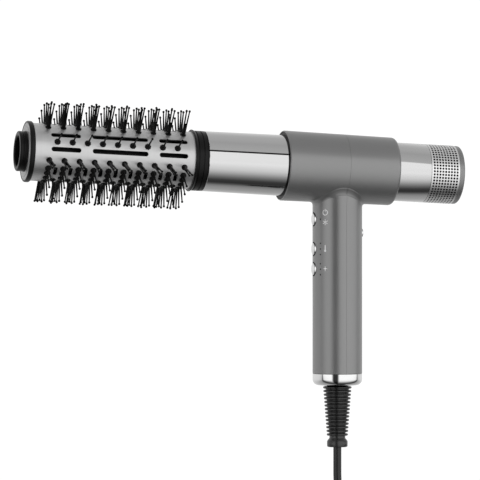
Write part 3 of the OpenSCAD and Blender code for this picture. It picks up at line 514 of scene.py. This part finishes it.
def makeFlange(s):
    rim, face = inMm(spanOf("tip_flange")), inMm(spanOf("flange_face"))
    skin, edge, corner = rim["outer"], s["edge"], s["corner"]
    seat, floor = face["outer"] + s["gap"], face["rear"] + s["gap"]
    profile = [(rim["rear"], rim["inner"]), (rim["rear"], skin - corner)]
    profile += arc(rim["rear"] - corner, skin - corner, corner, 0, 90, 5)
    profile += arc(rim["front"] + edge, skin - edge, edge, 90, 170, 6)
    profile += [(rim["front"] + s["bevel"], seat), (floor, seat), (floor, rim["inner"])]
    keep(onBarrel(lathe(profile, 96)), "flange_rim", "brush", blackGloss, "black_plastic", ["tip_flange"])
    inner, outer = face["inner"], face["outer"]
    middle = (inner + outer) / 2
    front, step, bevel = face["front"], middle + s["step"] / 2, s["bevel"]
    low = front + s["recess"]
    profile = [(face["rear"], inner), (face["rear"], outer), (low + 0.15, outer), (low, outer - 0.2),
               (low, step), (front, step - bevel), (front, inner + bevel), (front + 0.2, inner)]
    keep(onBarrel(lathe(profile, 96)), "flange_ring", "brush", flangeGrey, "aluminium", ["flange_face"])


def makeCoolTip(s):
    span, ring = inMm(spanOf("cool_tip")), inMm(spanOf("flange_face"))
    skin, edge = span["outer"], s["edge"]
    bore = frame["record"]["mounts"][1]["dims"]["r_mm"]
    floor, root = span["rear"] - s["floor"], skin - s["root"]
    wide, narrow = s["ridgeHalf"]
    profile = [(span["rear"], 0), (span["rear"], root), (ring["rear"], root), (ring["rear"], skin - 0.05),
               (ring["front"] - 0.2, skin)]
    for centre in s["ridges"]:
        x, low = ring["front"] + (span["front"] - ring["front"]) * centre, skin - s["ridge"]
        profile += [(x + wide, skin), (x + narrow, low), (x - narrow, low), (x - wide, skin)]
    profile += arc(span["front"] + edge, skin - edge, edge, 90, 180, 6)
    profile += [(span["front"], bore + s["mouth"]), (span["front"] + s["mouth"], bore),
                (floor, bore), (floor, 0)]
    return keep(onBarrel(lathe(profile, 96)), "tip", "brush", blackGloss, "black_plastic", ["cool_tip"])


# Bristled barrel: a thin tube with slots and windows
barrelSettings = dict(steps=144, rings=8, slotZone=-20.9, denseZone=69.1, slotOffset=15.2, windowOffset=28,
                      rowStart=8.3, rowPitch=11.5, tufts=10, slotWidth=3.5, windowWidth=2.9, windowArc=7.4,
                      windowCorner=0.9, slots=((6, 28), (36.6, 79.3), (87.9, 110.6)), wall=1.0, cutDepth=6)


# Turns +Z to the side that an angle names, counted from -Y towards the underside
def outward(angle):
    return Matrix.Rotation(math.radians(angle + 90), 4, "X")


# A block with round ends that goes through the wall
def addCutter(bm, x0, x1, angle, width, radius, corner, depth):
    length = x1 - x0
    size = Matrix.Diagonal((length * mm, width * mm, depth * mm, 1))
    made = bmesh.ops.create_cube(bm, size=1, matrix=size)["verts"]
    edges = list({e for v in made for e in v.link_edges
                  if abs((e.verts[0].co - e.verts[1].co).z) > depth / 2 * mm})
    corner = min(corner, min(length, width) / 2 * 0.98)
    cut = bevelAt(bm, edges, corner * mm, 5, "EDGES")
    corners = list({v for v in made if v.is_valid} | set(cut["verts"]))
    place = outward(angle) @ Matrix.Translation(((x0 + x1) / 2 * mm, 0, radius * mm))
    bmesh.ops.transform(bm, matrix=toBarrel @ place, verts=corners)


def makeBristleBarrel(s):
    span = inMm(spanOf("brush_barrel"))
    front, rear, skin = span["front"], span["rear"], span["outer"]
    bore = skin - s["wall"]
    profile = [(rear, bore), (rear, skin)]
    profile += [(rear + (front - rear) * i / s["rings"], skin) for i in range(1, s["rings"])]
    profile += [(front, skin), (front, bore)]
    tube = onBarrel(lathe(profile, s["steps"]))
    tube = keep(tube, "bristle_barrel", "brush", anodised, "aluminium", ["brush_barrel"])
    bm = bmesh.new()
    for half in (0, 180):
        for side in (-1, 1):
            for near, far in s["slots"]:
                angle = half + s["slotZone"] + side * s["slotOffset"]
                addCutter(bm, rear - far, rear - near, angle, s["slotWidth"], skin, s["slotWidth"] / 2,
                          s["cutDepth"])
            for i in range(s["tufts"] - 1):
                x = rear - s["rowStart"] - s["rowPitch"] * (i + 0.5)
                angle = half + s["denseZone"] + side * s["windowOffset"]
                addCutter(bm, x - s["windowWidth"] / 2, x + s["windowWidth"] / 2, angle, s["windowArc"],
                          skin, s["windowCorner"], s["cutDepth"])
    bmesh.ops.recalc_face_normals(bm, faces=bm.faces)
    cutter = asObject(bm, "cutters")
    cut = tube.modifiers.new("slots", "BOOLEAN")
    cut.operation = "DIFFERENCE"
    cut.solver = "EXACT"
    cut.object = cutter
    done = bpy.data.meshes.new_from_object(tube.evaluated_get(bpy.context.evaluated_depsgraph_get()))
    tube.modifiers.clear()
    tube.data = done
    shadeSmooth(done)
    bpy.data.objects.remove(cutter)
    return tube


makeCollar(collarSettings)
makeFlange(flangeSettings)
makeCoolTip(tipSettings)
makeBristleBarrel(barrelSettings)
print("brush barrel done")

# Bristles
# jitter and lean in degrees, the hairs' turn in radians
bristleSettings = dict(height=16, tuftHeight=21.9, foot=2.6, footHeight=0.7, sink=0.3, root=0.75, top=0.5,
                       ball=0.95, sides=8, jitter=1.2, tipDrop=0.9, hairTurn=2.4, hairLean=3,
                       hairDrop=(-1.6, 0.8),
                       rows=((-35, 0), (-23, 0), (-8.5, 0), (0, 0.5), (8.5, 0), (23, 0), (35, 0)),
                       tuftOffset=37.5, tips=3, hairs=34, hairHeight=9.5, hairRadius=0.26, spread=0.85,
                       fan=1.3, kinds=6, tuftFoot=2.3)


# Side view of a bristle as (height, radius): foot, tapering pin and ball tip
def pinProfile(s, height, foot):
    ball = s["ball"]
    points = [(-s["sink"], s["root"])]
    if foot:
        points = [(-s["sink"], foot), (s["footHeight"] * 0.6, foot * 0.94), (s["footHeight"], foot * 0.55)]
    points += [(s["footHeight"] + 0.9, s["root"]), (height - 2 * ball, s["top"])]
    for a in (math.radians(a) for a in (-35, 10, 50)):
        points.append((height - ball + ball * math.sin(a), ball * math.cos(a)))
    return points + [(height, 0)]


# Joins turned rods, each with its own place, in one small mesh
def makeTemplate(profiles):
    bm = bmesh.new()
    for profile, place, sides in profiles:
        part = lathe(profile, sides, closed=False)
        bmesh.ops.transform(part, matrix=place @ Matrix.Rotation(-math.pi / 2, 4, "Y"), verts=part.verts)
        absorb(bm, part)
    return asMesh(bm, "template")


def bristlePlace(b, place, angle):
    span = spanOf("brush_barrel")
    x = span["rear"] - (b["rowStart"] + b["rowPitch"] * place) * mm
    return toBarrel @ outward(angle) @ Matrix.Translation((x, 0, span["outer"]))


def plant(name, templates, places, replaced):
    bm = bmesh.new()
    for template, place in zip(templates, places):
        before = len(bm.verts)
        bm.from_mesh(template)
        bm.verts.ensure_lookup_table()
        spin = place @ Matrix.Rotation(dice.uniform(0, 2 * math.pi), 4, "Z")
        bmesh.ops.transform(bm, matrix=spin, verts=bm.verts[before:])
    return keep(bm, name, "brush", nylon, "bristle", replaced, sharp=50)


def makeSingles(s, b):
    template = makeTemplate([(pinProfile(s, s["height"], s["foot"]), Matrix.Identity(4), s["sides"])])
    places = []
    for half in (0, 180):
        places += [bristlePlace(b, i + 0.5, half + b["slotZone"]) for i in range(b["tufts"] - 1)]
        for turn, shift in s["rows"]:
            count = b["tufts"] - (shift > 0)
            places += [bristlePlace(b, i + shift, half + b["denseZone"] + turn) for i in range(count)]
    return plant("single_bristles", [template] * len(places), places, ["bristle_feet", "pin_bristles"])


def makeTuft(s):
    foot = [(-s["sink"], s["tuftFoot"]), (0.35, s["tuftFoot"]), (0.6, s["tuftFoot"] * 0.8), (0.6, 0)]
    rods = [(foot, Matrix.Identity(4), 14)]
    for k in range(s["tips"]):
        lean = math.radians(s["fan"] + dice.uniform(-s["jitter"], s["jitter"]))
        turn = Matrix.Rotation(2 * math.pi * (k / s["tips"] + 0.125), 4, "Z")
        place = turn @ Matrix.Translation((s["spread"] * mm, 0, 0)) @ Matrix.Rotation(lean, 4, "Y")
        rods.append((pinProfile(s, s["tuftHeight"] + dice.uniform(-s["tipDrop"], 0), 0), place, 7))
    for k in range(s["hairs"]):
        out = s["spread"] * math.sqrt((k + 0.5) / s["hairs"])
        turn = Matrix.Rotation(k * s["hairTurn"], 4, "Z")
        lean = math.radians(out * s["hairLean"] + dice.uniform(-s["jitter"], s["jitter"]))
        height, radius = s["hairHeight"] + dice.uniform(*s["hairDrop"]), s["hairRadius"]
        profile = [(-s["sink"], radius), (height * 0.8, radius), (height, radius * 0.5)]
        rods.append((profile, turn @ Matrix.Translation((out * mm, 0, 0)) @ Matrix.Rotation(lean, 4, "Y"), 4))
    return makeTemplate(rods)


def makeTufts(s, b):
    kinds = [makeTuft(s) for _ in range(s["kinds"])]
    places = [bristlePlace(b, i, half + b["slotZone"] + side * s["tuftOffset"])
              for half in (0, 180) for side in (-1, 1) for i in range(b["tufts"])]
    return plant("tufts", [kinds[i % len(kinds)] for i in range(len(places))], places, ["tuft_bristles"])


makeSingles(bristleSettings, barrelSettings)
makeTufts(bristleSettings, barrelSettings)
print("bristles planted")

# Chrome cup at the bottom of the handle, and the strain relief in it
cupSettings = dict(corner=4.6, bevel=0.35, mouth=0.5, seat=2.2, ledge=2, gap=0.15)
reliefSettings = dict(ribs=14, pitch=2.77, rib=1.75, wide=11.0, narrow=8.2, neck=6.0, notch=2, tail=7.9,
                      flange=2, gap=0.9, bore=0.05, steps=72)


def zSpan(node):
    low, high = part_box(node)
    return low.z / mm, high.z / mm


def makeCup(s):
    low, high = zSpan("base_ring")
    skin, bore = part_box("base_ring")[1].x / mm, reliefSettings["wide"] + s["gap"]
    corner, bevel, mouth = s["corner"], s["bevel"], s["mouth"]
    seat, ledge = high - s["seat"], bore + s["ledge"]
    profile = [(low + mouth, bore), (low, bore + mouth)]
    profile += arc(low + corner, skin - corner, corner, 180, 90, 12)
    profile += [(high - bevel, skin), (high, skin - bevel), (high, ledge), (seat, ledge), (seat, bore)]
    return keep(onHandle(lathe(profile, 128)), "base_cup", "dryer", chrome, "chrome", ["base_ring"])


def makeStrainRelief(s):
    low, high = zSpan("strain_relief")
    ringLow = zSpan("base_ring")[0]
    cord = leadSettings["diameter"] / mm / 2 + s["bore"]
    top, flange = ringLow - s["gap"], s["flange"]
    last = top - (s["ribs"] - 1) * s["pitch"] - s["rib"]
    wide, neck, tail = s["wide"], s["neck"], s["tail"]
    profile = [(high, cord), (high, wide + flange), (high - flange, wide + flange), (high - flange, wide),
               (ringLow, wide - 0.1), (ringLow - 0.05, neck)]
    for i in range(s["ribs"]):
        reach = wide + (s["narrow"] - wide) * i / (s["ribs"] - 1)
        upper, foot, half = top - i * s["pitch"], reach - s["notch"], s["rib"] / 2
        profile += [(upper, foot), *arc(upper - half, reach - half, half, 0, 180, 6)]
        profile.append((upper - s["rib"], foot))
    profile += [(last - 1.3, neck), (last - 2.2, neck + 0.4), (last - 3.4, tail - 0.5), (last - 4.2, tail),
                (low + 0.9, tail), (low + 0.25, tail - 0.3), (low, tail - 0.9), (low, cord)]
    bm = onHandle(lathe(profile, s["steps"]))
    return keep(bm, "relief", "dryer", reliefRubber, "rubber", ["strain_relief"], sharp=40)


makeCup(cupSettings)
makeStrainRelief(reliefSettings)

# Push buttons: domed cap, skirt and stem
buttonSettings = dict(crown=0.95, edge=0.35, stem=1.5, skirt=0.6, capBand=1.2, rings=8)


def makeButton(node, s):
    low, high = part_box(node)
    rear = low.x > 0 or abs(high.x) > abs(low.x)
    way = 1 if rear else -1
    face, inner = (high.x, low.x) if rear else (low.x, high.x)
    face, inner = abs(face) / mm, abs(inner) / mm * (1 if inner * way > 0 else -1)
    flangeR = (high.y - low.y) / 2 / mm
    places = [v.co for v in nodes[node].data.vertices]
    axisZ = (low.z + high.z) / 2
    cap = max(math.hypot(p.y, p.z - axisZ) for p in places if abs(p.x) / mm > face - s["capBand"]) / mm
    flangeTop = max(abs(p.x) for p in places if math.hypot(p.y, p.z - axisZ) / mm > flangeR - 0.05) / mm
    sphere = (cap ** 2 + s["crown"] ** 2) / (2 * s["crown"])
    rise = math.degrees(math.asin((cap - s["edge"]) / sphere))
    stem, skirt, brow = s["stem"], flangeTop - s["skirt"], face - s["crown"]
    profile = [(inner, 0), (inner, stem), (skirt, stem), (skirt, flangeR), (flangeTop, flangeR),
               (flangeTop, cap), (brow - 0.2, cap), (brow + 0.05, cap - 0.1)]
    turns = [math.radians(rise * (1 - i / s["rings"])) for i in range(s["rings"])]
    dome = [(face - sphere + sphere * math.cos(t), sphere * math.sin(t)) for t in turns]
    bm = lathe(profile + dome + [(face, 0)], 48, closed=False)
    bmesh.ops.remove_doubles(bm, verts=bm.verts, dist=1e-7)
    turn = Matrix.Identity(4) if rear else Matrix.Rotation(math.pi, 4, "Z")
    bmesh.ops.transform(bm, matrix=Matrix.Translation((0, 0, axisZ)) @ turn, verts=bm.verts)
    bmesh.ops.recalc_face_normals(bm, faces=bm.faces)
    return keep(bm, node.replace("_button", "") + "_cap", node, chrome, "chrome", [node], sharp=40)


for buttonNode in ("power_button", "temperature_button", "speed_button", "cool_shot_button"):
    makeButton(buttonNode, buttonSettings)
print("handle fittings done")

# Printed symbols beside the buttons, wrapped on the handle
symbolSettings = dict(angle=44.7, lift=0.02, thick=0.03,
                      places=dict(power=82.2, fan=74.7, heat=54.7, star=39.4))


# Flat ring or arc, in millimetres, in the X-Y plane
def flatRing(outer, inner, start=0.0, sweep=2 * math.pi, steps=24):
    bm = bmesh.new()
    corners = [bm.verts.new((math.cos(start) * r, math.sin(start) * r, 0)) for r in (inner, outer)]
    edge = bm.edges.new(corners)
    bmesh.ops.spin(bm, geom=[*corners, edge], cent=(0, 0, 0), axis=(0, 0, 1), angle=sweep, steps=steps,
                   use_merge=abs(sweep - 2 * math.pi) < 1e-6, use_duplicate=False)
    return bm


def flatDisc(radius, place=(0, 0), stretch=(1, 1)):
    bm = bmesh.new()
    bmesh.ops.create_circle(bm, cap_ends=True, radius=radius, segments=20)
    bmesh.ops.scale(bm, vec=(*stretch, 1), verts=bm.verts)
    bmesh.ops.translate(bm, vec=(*place, 0), verts=bm.verts)
    return bm


def flatBar(width, height, place=(0, 0), turn=0.0):
    bm = bmesh.new()
    bmesh.ops.create_grid(bm, x_segments=1, y_segments=4, size=0.5)
    bmesh.ops.scale(bm, vec=(width, height, 1), verts=bm.verts)
    bmesh.ops.translate(bm, vec=(0, place[1], 0), verts=bm.verts)
    bmesh.ops.rotate(bm, cent=(0, 0, 0), matrix=Matrix.Rotation(turn, 3, "Z"), verts=bm.verts)
    bmesh.ops.translate(bm, vec=(place[0], 0, 0), verts=bm.verts)
    return bm


def flatStar(reach, waist):
    bm = bmesh.new()
    bmesh.ops.create_circle(bm, cap_ends=True, radius=reach, segments=8)
    for i, v in enumerate(bm.verts):
        if i % 2:
            v.co *= waist / reach
    return bm


def symbolShapes(name):
    if name == "power":
        return [flatRing(2.3, 1.7, start=math.radians(115), sweep=math.radians(310)),
                flatBar(0.5, 2.1, (0, 1.7))]
    if name == "fan":
        return [flatRing(0.95, 0.4)] + [flatBar(0.55, 0.95, (0, 1.75), k * math.pi / 3) for k in range(6)]
    if name == "heat":
        return [flatBar(0.75, 3.4, (0, 0.7)), flatDisc(0.95, (0, -1.5)), flatDisc(0.375, (0, 2.4))]
    return [flatStar(2.2, 0.55)]


def makeSymbols(s):
    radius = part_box("base_ring")[1].x / mm + s["lift"]
    bm = bmesh.new()
    for name, height in s["places"].items():
        for shape in symbolShapes(name):
            bmesh.ops.triangulate(shape, faces=shape.faces)
            for v in shape.verts:
                turn = v.co.x / radius
                v.co = Vector((-radius * math.cos(turn), -radius * math.sin(turn), height + v.co.y))
            absorb(bm, shape)
    turn = Matrix.Rotation(math.radians(s["angle"]), 3, "Z")
    bmesh.ops.rotate(bm, cent=(0, 0, 0), matrix=turn, verts=bm.verts)
    bmesh.ops.scale(bm, vec=(mm, mm, mm), verts=bm.verts)
    for face in bm.faces:
        middle = face.calc_center_median()
        if face.normal.dot(Vector((middle.x, middle.y, 0))) < 0:
            face.normal_flip()
    bmesh.ops.solidify(bm, geom=bm.faces[:], thickness=s["thick"] * mm)
    return keep(bm, "symbols", "dryer", printInk, "pale_plastic")


makeSymbols(symbolSettings)

# Fillet where the handle runs into the sleeve, parted at the shells' seam
saddleSettings = dict(size=2.6, sink=0.3, proud=0.04, gap=0.3, steps=44, rearBand=4)


def makeSaddle(s):
    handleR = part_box("base_ring")[1].x / mm
    places = [fromBarrel @ v.co for v in nodes["rear_shell"].data.vertices]
    near, far = spanOf("front_shell")["front"], spanOf("rear_shell")["rear"]
    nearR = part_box("front_shell")[1].y
    farR = max(math.hypot(p.y, p.z) for p in places if p.x > far - s["rearBand"] * mm)
    seam = min(v.co.x for v in nodes["rear_shell"].data.vertices if v.co.z < 0) / mm
    size, sink = s["size"], s["sink"]
    profile = [(-size, handleR - sink), (-size, handleR + s["proud"])]
    profile += [(-size + size * math.sin(t) - s["proud"], handleR + size - size * math.cos(t) + s["proud"])
                for t in (math.radians(a) for a in range(15, 90, 15))]
    profile += [(-s["proud"], handleR + size), (sink, handleR + size), (sink, handleR - sink)]
    bm = bmesh.new()
    part, gap = math.asin(seam / handleR), s["gap"] / handleR
    for middle, half in ((0, math.pi / 2 + part - gap), (math.pi, math.pi / 2 - part)):
        strip = onHandle(lathe(profile, s["steps"], middle - half, 2 * half))
        absorb(bm, strip)
    for v in bm.verts:
        radius = nearR + (farR - nearR) * (v.co.x - near) / (far - near)
        drop = math.sqrt(radius ** 2 - v.co.y ** 2) / math.cos(barrelTilt)
        v.co.z += barrelCentre.z - v.co.x * math.tan(barrelTilt) - drop
    return keep(bm, "saddle", "dryer", paint, "housing", sharp=50)


makeSaddle(saddleSettings)

# Tie round the hank, and the plug on the lead
tieSettings = dict(thick=1.4, corner=4.5, soften=0.35)
plugSettings = dict(
    corner=0.62, neck=16, neckRadius=5.8, ribs=5, ribPitch=2.9, taper=0.28, notch=1.3,
    # height over the pins' side, share of the full outline; the last row is at the foot of the neck
    rows=((0, 0.93), (1.2, 0.99), (3, 1.0), (8, 1.0), (11, 0.98), (13, 0.9), (14.5, 0.9), (17, 0.94),
          (21, 0.86), (25, 0.7), (28, 0.5)), last=0.36)
pinSettings = dict(sleeve=0.55, relief=0.12, steps=28)


def makeTie(s):
    low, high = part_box("cord_tie")
    size = high - low
    bm = bmesh.new()
    bmesh.ops.create_grid(bm, x_segments=1, y_segments=1, size=0.5)
    bmesh.ops.scale(bm, vec=(size.x - s["thick"] * mm, size.y - s["thick"] * mm, 1), verts=bm.verts)
    bevelAt(bm, bm.verts[:], s["corner"] * mm, 6)
    bmesh.ops.delete(bm, geom=bm.faces[:], context="FACES_ONLY")
    wall = bmesh.ops.extrude_edge_only(bm, edges=bm.edges[:])["geom"]
    raised = [g for g in wall if isinstance(g, bmesh.types.BMVert)]
    bmesh.ops.translate(bm, vec=(0, 0, size.z - 0.2 * mm), verts=raised)
    bmesh.ops.recalc_face_normals(bm, faces=bm.faces)
    bmesh.ops.solidify(bm, geom=bm.faces[:], thickness=s["thick"] * mm * 0.98)
    middle = (low + high) / 2
    centre = sum((v.co for v in bm.verts), Vector()) / len(bm.verts)
    bmesh.ops.translate(bm, vec=middle - centre, verts=bm.verts)
    roundOff(bm, s["soften"] * mm, 2, 50)
    return keep(bm, "tie_band", "dryer", rubber, "rubber", ["cord_tie"])


def makePlug(s):
    low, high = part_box("plug_body")
    middle = (low + high) / 2
    halfX, halfY, height = (high.x - low.x) / 2 / mm, (high.y - low.y) / 2 / mm, (high.z - low.z) / mm
    block = height - s["neck"]
    bm = bmesh.new()
    bmesh.ops.create_grid(bm, x_segments=1, y_segments=1, size=1)
    bmesh.ops.scale(bm, vec=(halfX, halfY, 1), verts=bm.verts)
    bevelAt(bm, bm.verts[:], halfX * s["corner"], 10)
    rows = [*s["rows"], (block, s["last"])]
    bmesh.ops.scale(bm, vec=(rows[0][1], rows[0][1], 1), verts=bm.verts)
    bmesh.ops.delete(bm, geom=bm.faces[:], context="FACES_ONLY")
    loop = bm.edges[:]
    bmesh.ops.edgeloop_fill(bm, edges=loop)
    for (z0, k0), (z1, k1) in zip(rows, rows[1:]):
        made = bmesh.ops.extrude_edge_only(bm, edges=loop)["geom"]
        top = [g for g in made if isinstance(g, bmesh.types.BMVert)]
        bmesh.ops.scale(bm, vec=(k1 / k0, k1 / k0, 1), verts=top)
        bmesh.ops.translate(bm, vec=(0, 0, z1 - z0), verts=top)
        loop = [g for g in made if isinstance(g, bmesh.types.BMEdge)]
    bmesh.ops.edgeloop_fill(bm, edges=loop)
    bmesh.ops.recalc_face_normals(bm, faces=bm.faces)
    profile = [(block - 1, 0), (block - 1, s["neckRadius"]), (block + 0.5, s["neckRadius"])]
    for i in range(s["ribs"]):
        at, reach = block + 1 + i * s["ribPitch"], s["neckRadius"] - i * s["taper"]
        foot = reach - s["notch"]
        profile += [(at, foot), (at + 0.4, reach), (at + 1.6, reach), (at + 2, foot)]
    profile += [(height - 0.4, 4.4), (height, 4.1), (height, 0)]
    neck = onHandle(lathe(profile, 40, closed=False))
    bmesh.ops.scale(neck, vec=(1 / mm,) * 3, verts=neck.verts)
    absorb(bm, neck)
    bmesh.ops.scale(bm, vec=(mm, mm, mm), verts=bm.verts)
    bmesh.ops.translate(bm, vec=(middle.x, middle.y, low.z), verts=bm.verts)
    return keep(bm, "plug", "dryer", blackPlastic, "black_plastic", ["plug_body"], sharp=40)


def makePlugPins(s):
    low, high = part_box("plug_pins")
    radius = (high.x - low.x) / 2 / mm
    span = (high.y - low.y) / mm - 2 * radius
    length = (high.z - low.z) / mm
    sleeve, slim = length * s["sleeve"], radius - s["relief"]
    profile = [(length, 0), (length, radius), (sleeve, radius), (sleeve - 0.3, slim), (1.6, slim),
               (0.7, radius - 0.5), (0.15, radius - 1.3), (0, 0)]
    bm = bmesh.new()
    for side in (-1, 1):
        pin = onHandle(lathe(profile, s["steps"], closed=False))
        place = ((low.x + high.x) / 2, (low.y + high.y) / 2 + side * span / 2 * mm, low.z)
        bmesh.ops.translate(pin, vec=place, verts=pin.verts)
        absorb(bm, pin)
    return keep(bm, "pins", "dryer", brass, "brass_pin", ["plug_pins"])


tieBand = makeTie(tieSettings)
plug = makePlug(plugSettings)
plugPins = makePlugPins(pinSettings)

mainsLead.data.materials.append(leadSkin)
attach(mainsLead, "dryer")
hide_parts("mains_cord", "cord_hank")
print("lead, tie and plug done")

# Finishes of the CAD pieces that stay
slotFinish = dict(
    housing=paint, steel=steel, chrome=chrome, black_plastic=blackPlastic, grey_plastic=greyPlastic,
    pale_plastic=lightPipe, aluminium=castAlloy, bristle=nylon, rubber=rubber, cord=leadSkin, mica=mica,
    ceramic=ceramic, copper=copper, board=boardGreen, magnet=magnetGrey, wire=wireRed, brass_pin=brass,
    silicone=silicone)
for row in frame["record"]["subparts"]:
    piece = nodes[row["node"]]
    piece.data.materials.clear()
    piece.data.materials.append(slotFinish[row["material_slot"]])
print("finishes set")

# Studio: a pale floor, and a light tent whose brightness goes by the height that a ray comes from
studioSettings = dict(
    floorSize=5, floorDrop=0.02, floorTone=0.95, floorRough=0.95, fade=(1.5, 2.4), backdrop=1.05,
    # degrees up from the front, brightness
    tent=((-180, 0.8), (-130, 0.46), (-110, 0.37), (-100, 0.26), (-93, 0.12), (-85, 0.04), (-72, 0.06),
          (-60, 0.2), (-50, 0.38), (-40, 0.62), (-28, 0.88), (-5, 1.15), (37.6, 1.2), (39.2, 0.58),
          (80, 0.48), (120, 0.58), (150, 0.75), (180, 0.8)),
    # black card beside the camera, in degrees
    flag=dict(azimuth=-24.5, core=8.5, edge=20, dark=0.03),
    lamp=dict(place=(0.3, -0.9, 2.4), size=1.6, power=9))


def shaderNode(tree, kind, settings=(), **inputs):
    node = tree.nodes.new("ShaderNode" + kind)
    for label, value in settings:
        setattr(node, label, value)
    for label, value in inputs.items():
        node.inputs[int(label[1:])].default_value = value
    return node


def makeFloor(s):
    bm = bmesh.new()
    bmesh.ops.create_grid(bm, x_segments=1, y_segments=1, size=s["floorSize"] / 2)
    bmesh.ops.translate(bm, vec=(0, 0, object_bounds()[0].z - s["floorDrop"]), verts=bm.verts)
    floor = asObject(bm, "floor")
    paper = bpy.data.materials.new("floorPaper")
    paper.use_nodes = True
    tree = paper.node_tree
    shader = tree.nodes["Principled BSDF"]
    shader.inputs["Base Color"].default_value = (*grey(s["floorTone"]), 1)
    shader.inputs["Roughness"].default_value = s["floorRough"]
    place = shaderNode(tree, "TexCoord")
    reach = shaderNode(tree, "VectorMath", [("operation", "LENGTH")])
    near, far = s["fade"]
    fade = shaderNode(tree, "MapRange", [("interpolation_type", "SMOOTHSTEP")], _1=near, _2=far, _3=1, _4=0)
    tree.links.new(place.outputs["Object"], reach.inputs[0])
    tree.links.new(reach.outputs["Value"], fade.inputs[0])
    tree.links.new(fade.outputs[0], shader.inputs["Alpha"])
    floor.data.materials.append(paper)
    floor.visible_glossy = False
    floor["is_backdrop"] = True


def makeStudio(s):
    world = bpy.data.worlds.new("studio")
    bpy.context.scene.world = world
    world.use_nodes = True
    tree = world.node_tree
    link = tree.links.new
    place = shaderNode(tree, "TexCoord")
    split = shaderNode(tree, "SeparateXYZ")
    toFront = shaderNode(tree, "Math", [("operation", "MULTIPLY")], _1=-1)
    height = shaderNode(tree, "Math", [("operation", "ARCTAN2")])
    share = shaderNode(tree, "MapRange", (), _1=-math.pi, _2=math.pi)
    tent = shaderNode(tree, "ValToRGB")
    ramp = tent.color_ramp
    ramp.elements[1].position = 1
    for angle, _ in s["tent"][1:-1]:
        ramp.elements.new((angle + 180) / 360)
    for stop, (_, tone) in zip(ramp.elements, s["tent"]):
        stop.color = (*grey(tone), 1)
    link(place.outputs["Generated"], split.inputs[0])
    link(split.outputs["Y"], toFront.inputs[0])
    link(split.outputs["Z"], height.inputs[0])
    link(toFront.outputs[0], height.inputs[1])
    link(height.outputs[0], share.inputs[0])
    link(share.outputs[0], tent.inputs[0])
    flag = s["flag"]
    bearing = shaderNode(tree, "Math", [("operation", "ARCTAN2")])
    away = shaderNode(tree, "Math", [("operation", "SUBTRACT")], _1=math.radians(flag["azimuth"]))
    size = shaderNode(tree, "Math", [("operation", "ABSOLUTE")])
    shade = shaderNode(tree, "MapRange", [("interpolation_type", "SMOOTHSTEP")],
                       _1=math.radians(flag["core"]), _2=math.radians(flag["edge"]), _3=flag["dark"], _4=1)
    lit = shaderNode(tree, "VectorMath", [("operation", "SCALE")])
    link(split.outputs["X"], bearing.inputs[0])
    link(toFront.outputs[0], bearing.inputs[1])
    link(bearing.outputs[0], away.inputs[0])
    link(away.outputs[0], size.inputs[0])
    link(size.outputs[0], shade.inputs[0])
    link(tent.outputs["Color"], lit.inputs[0])
    link(shade.outputs[0], lit.inputs["Scale"])
    seen = shaderNode(tree, "LightPath")
    white = shaderNode(tree, "Mix", [("data_type", "RGBA")], _7=(*grey(s["backdrop"]), 1))
    link(seen.outputs["Is Camera Ray"], white.inputs[0])
    link(lit.outputs[0], white.inputs[6])
    link(white.outputs[2], tree.nodes["Background"].inputs["Color"])

    lamp = bpy.data.lights.new("topLight", "AREA")
    lamp.size = s["lamp"]["size"]
    lamp.energy = s["lamp"]["power"]
    top = bpy.data.objects.new("topLight", lamp)
    top.location = s["lamp"]["place"]
    top.rotation_euler = (-top.location).to_track_quat("-Z", "Y").to_euler()
    top.visible_glossy = False
    bpy.context.scene.collection.objects.link(top)


makeFloor(studioSettings)
makeStudio(studioSettings)
print("studio done")
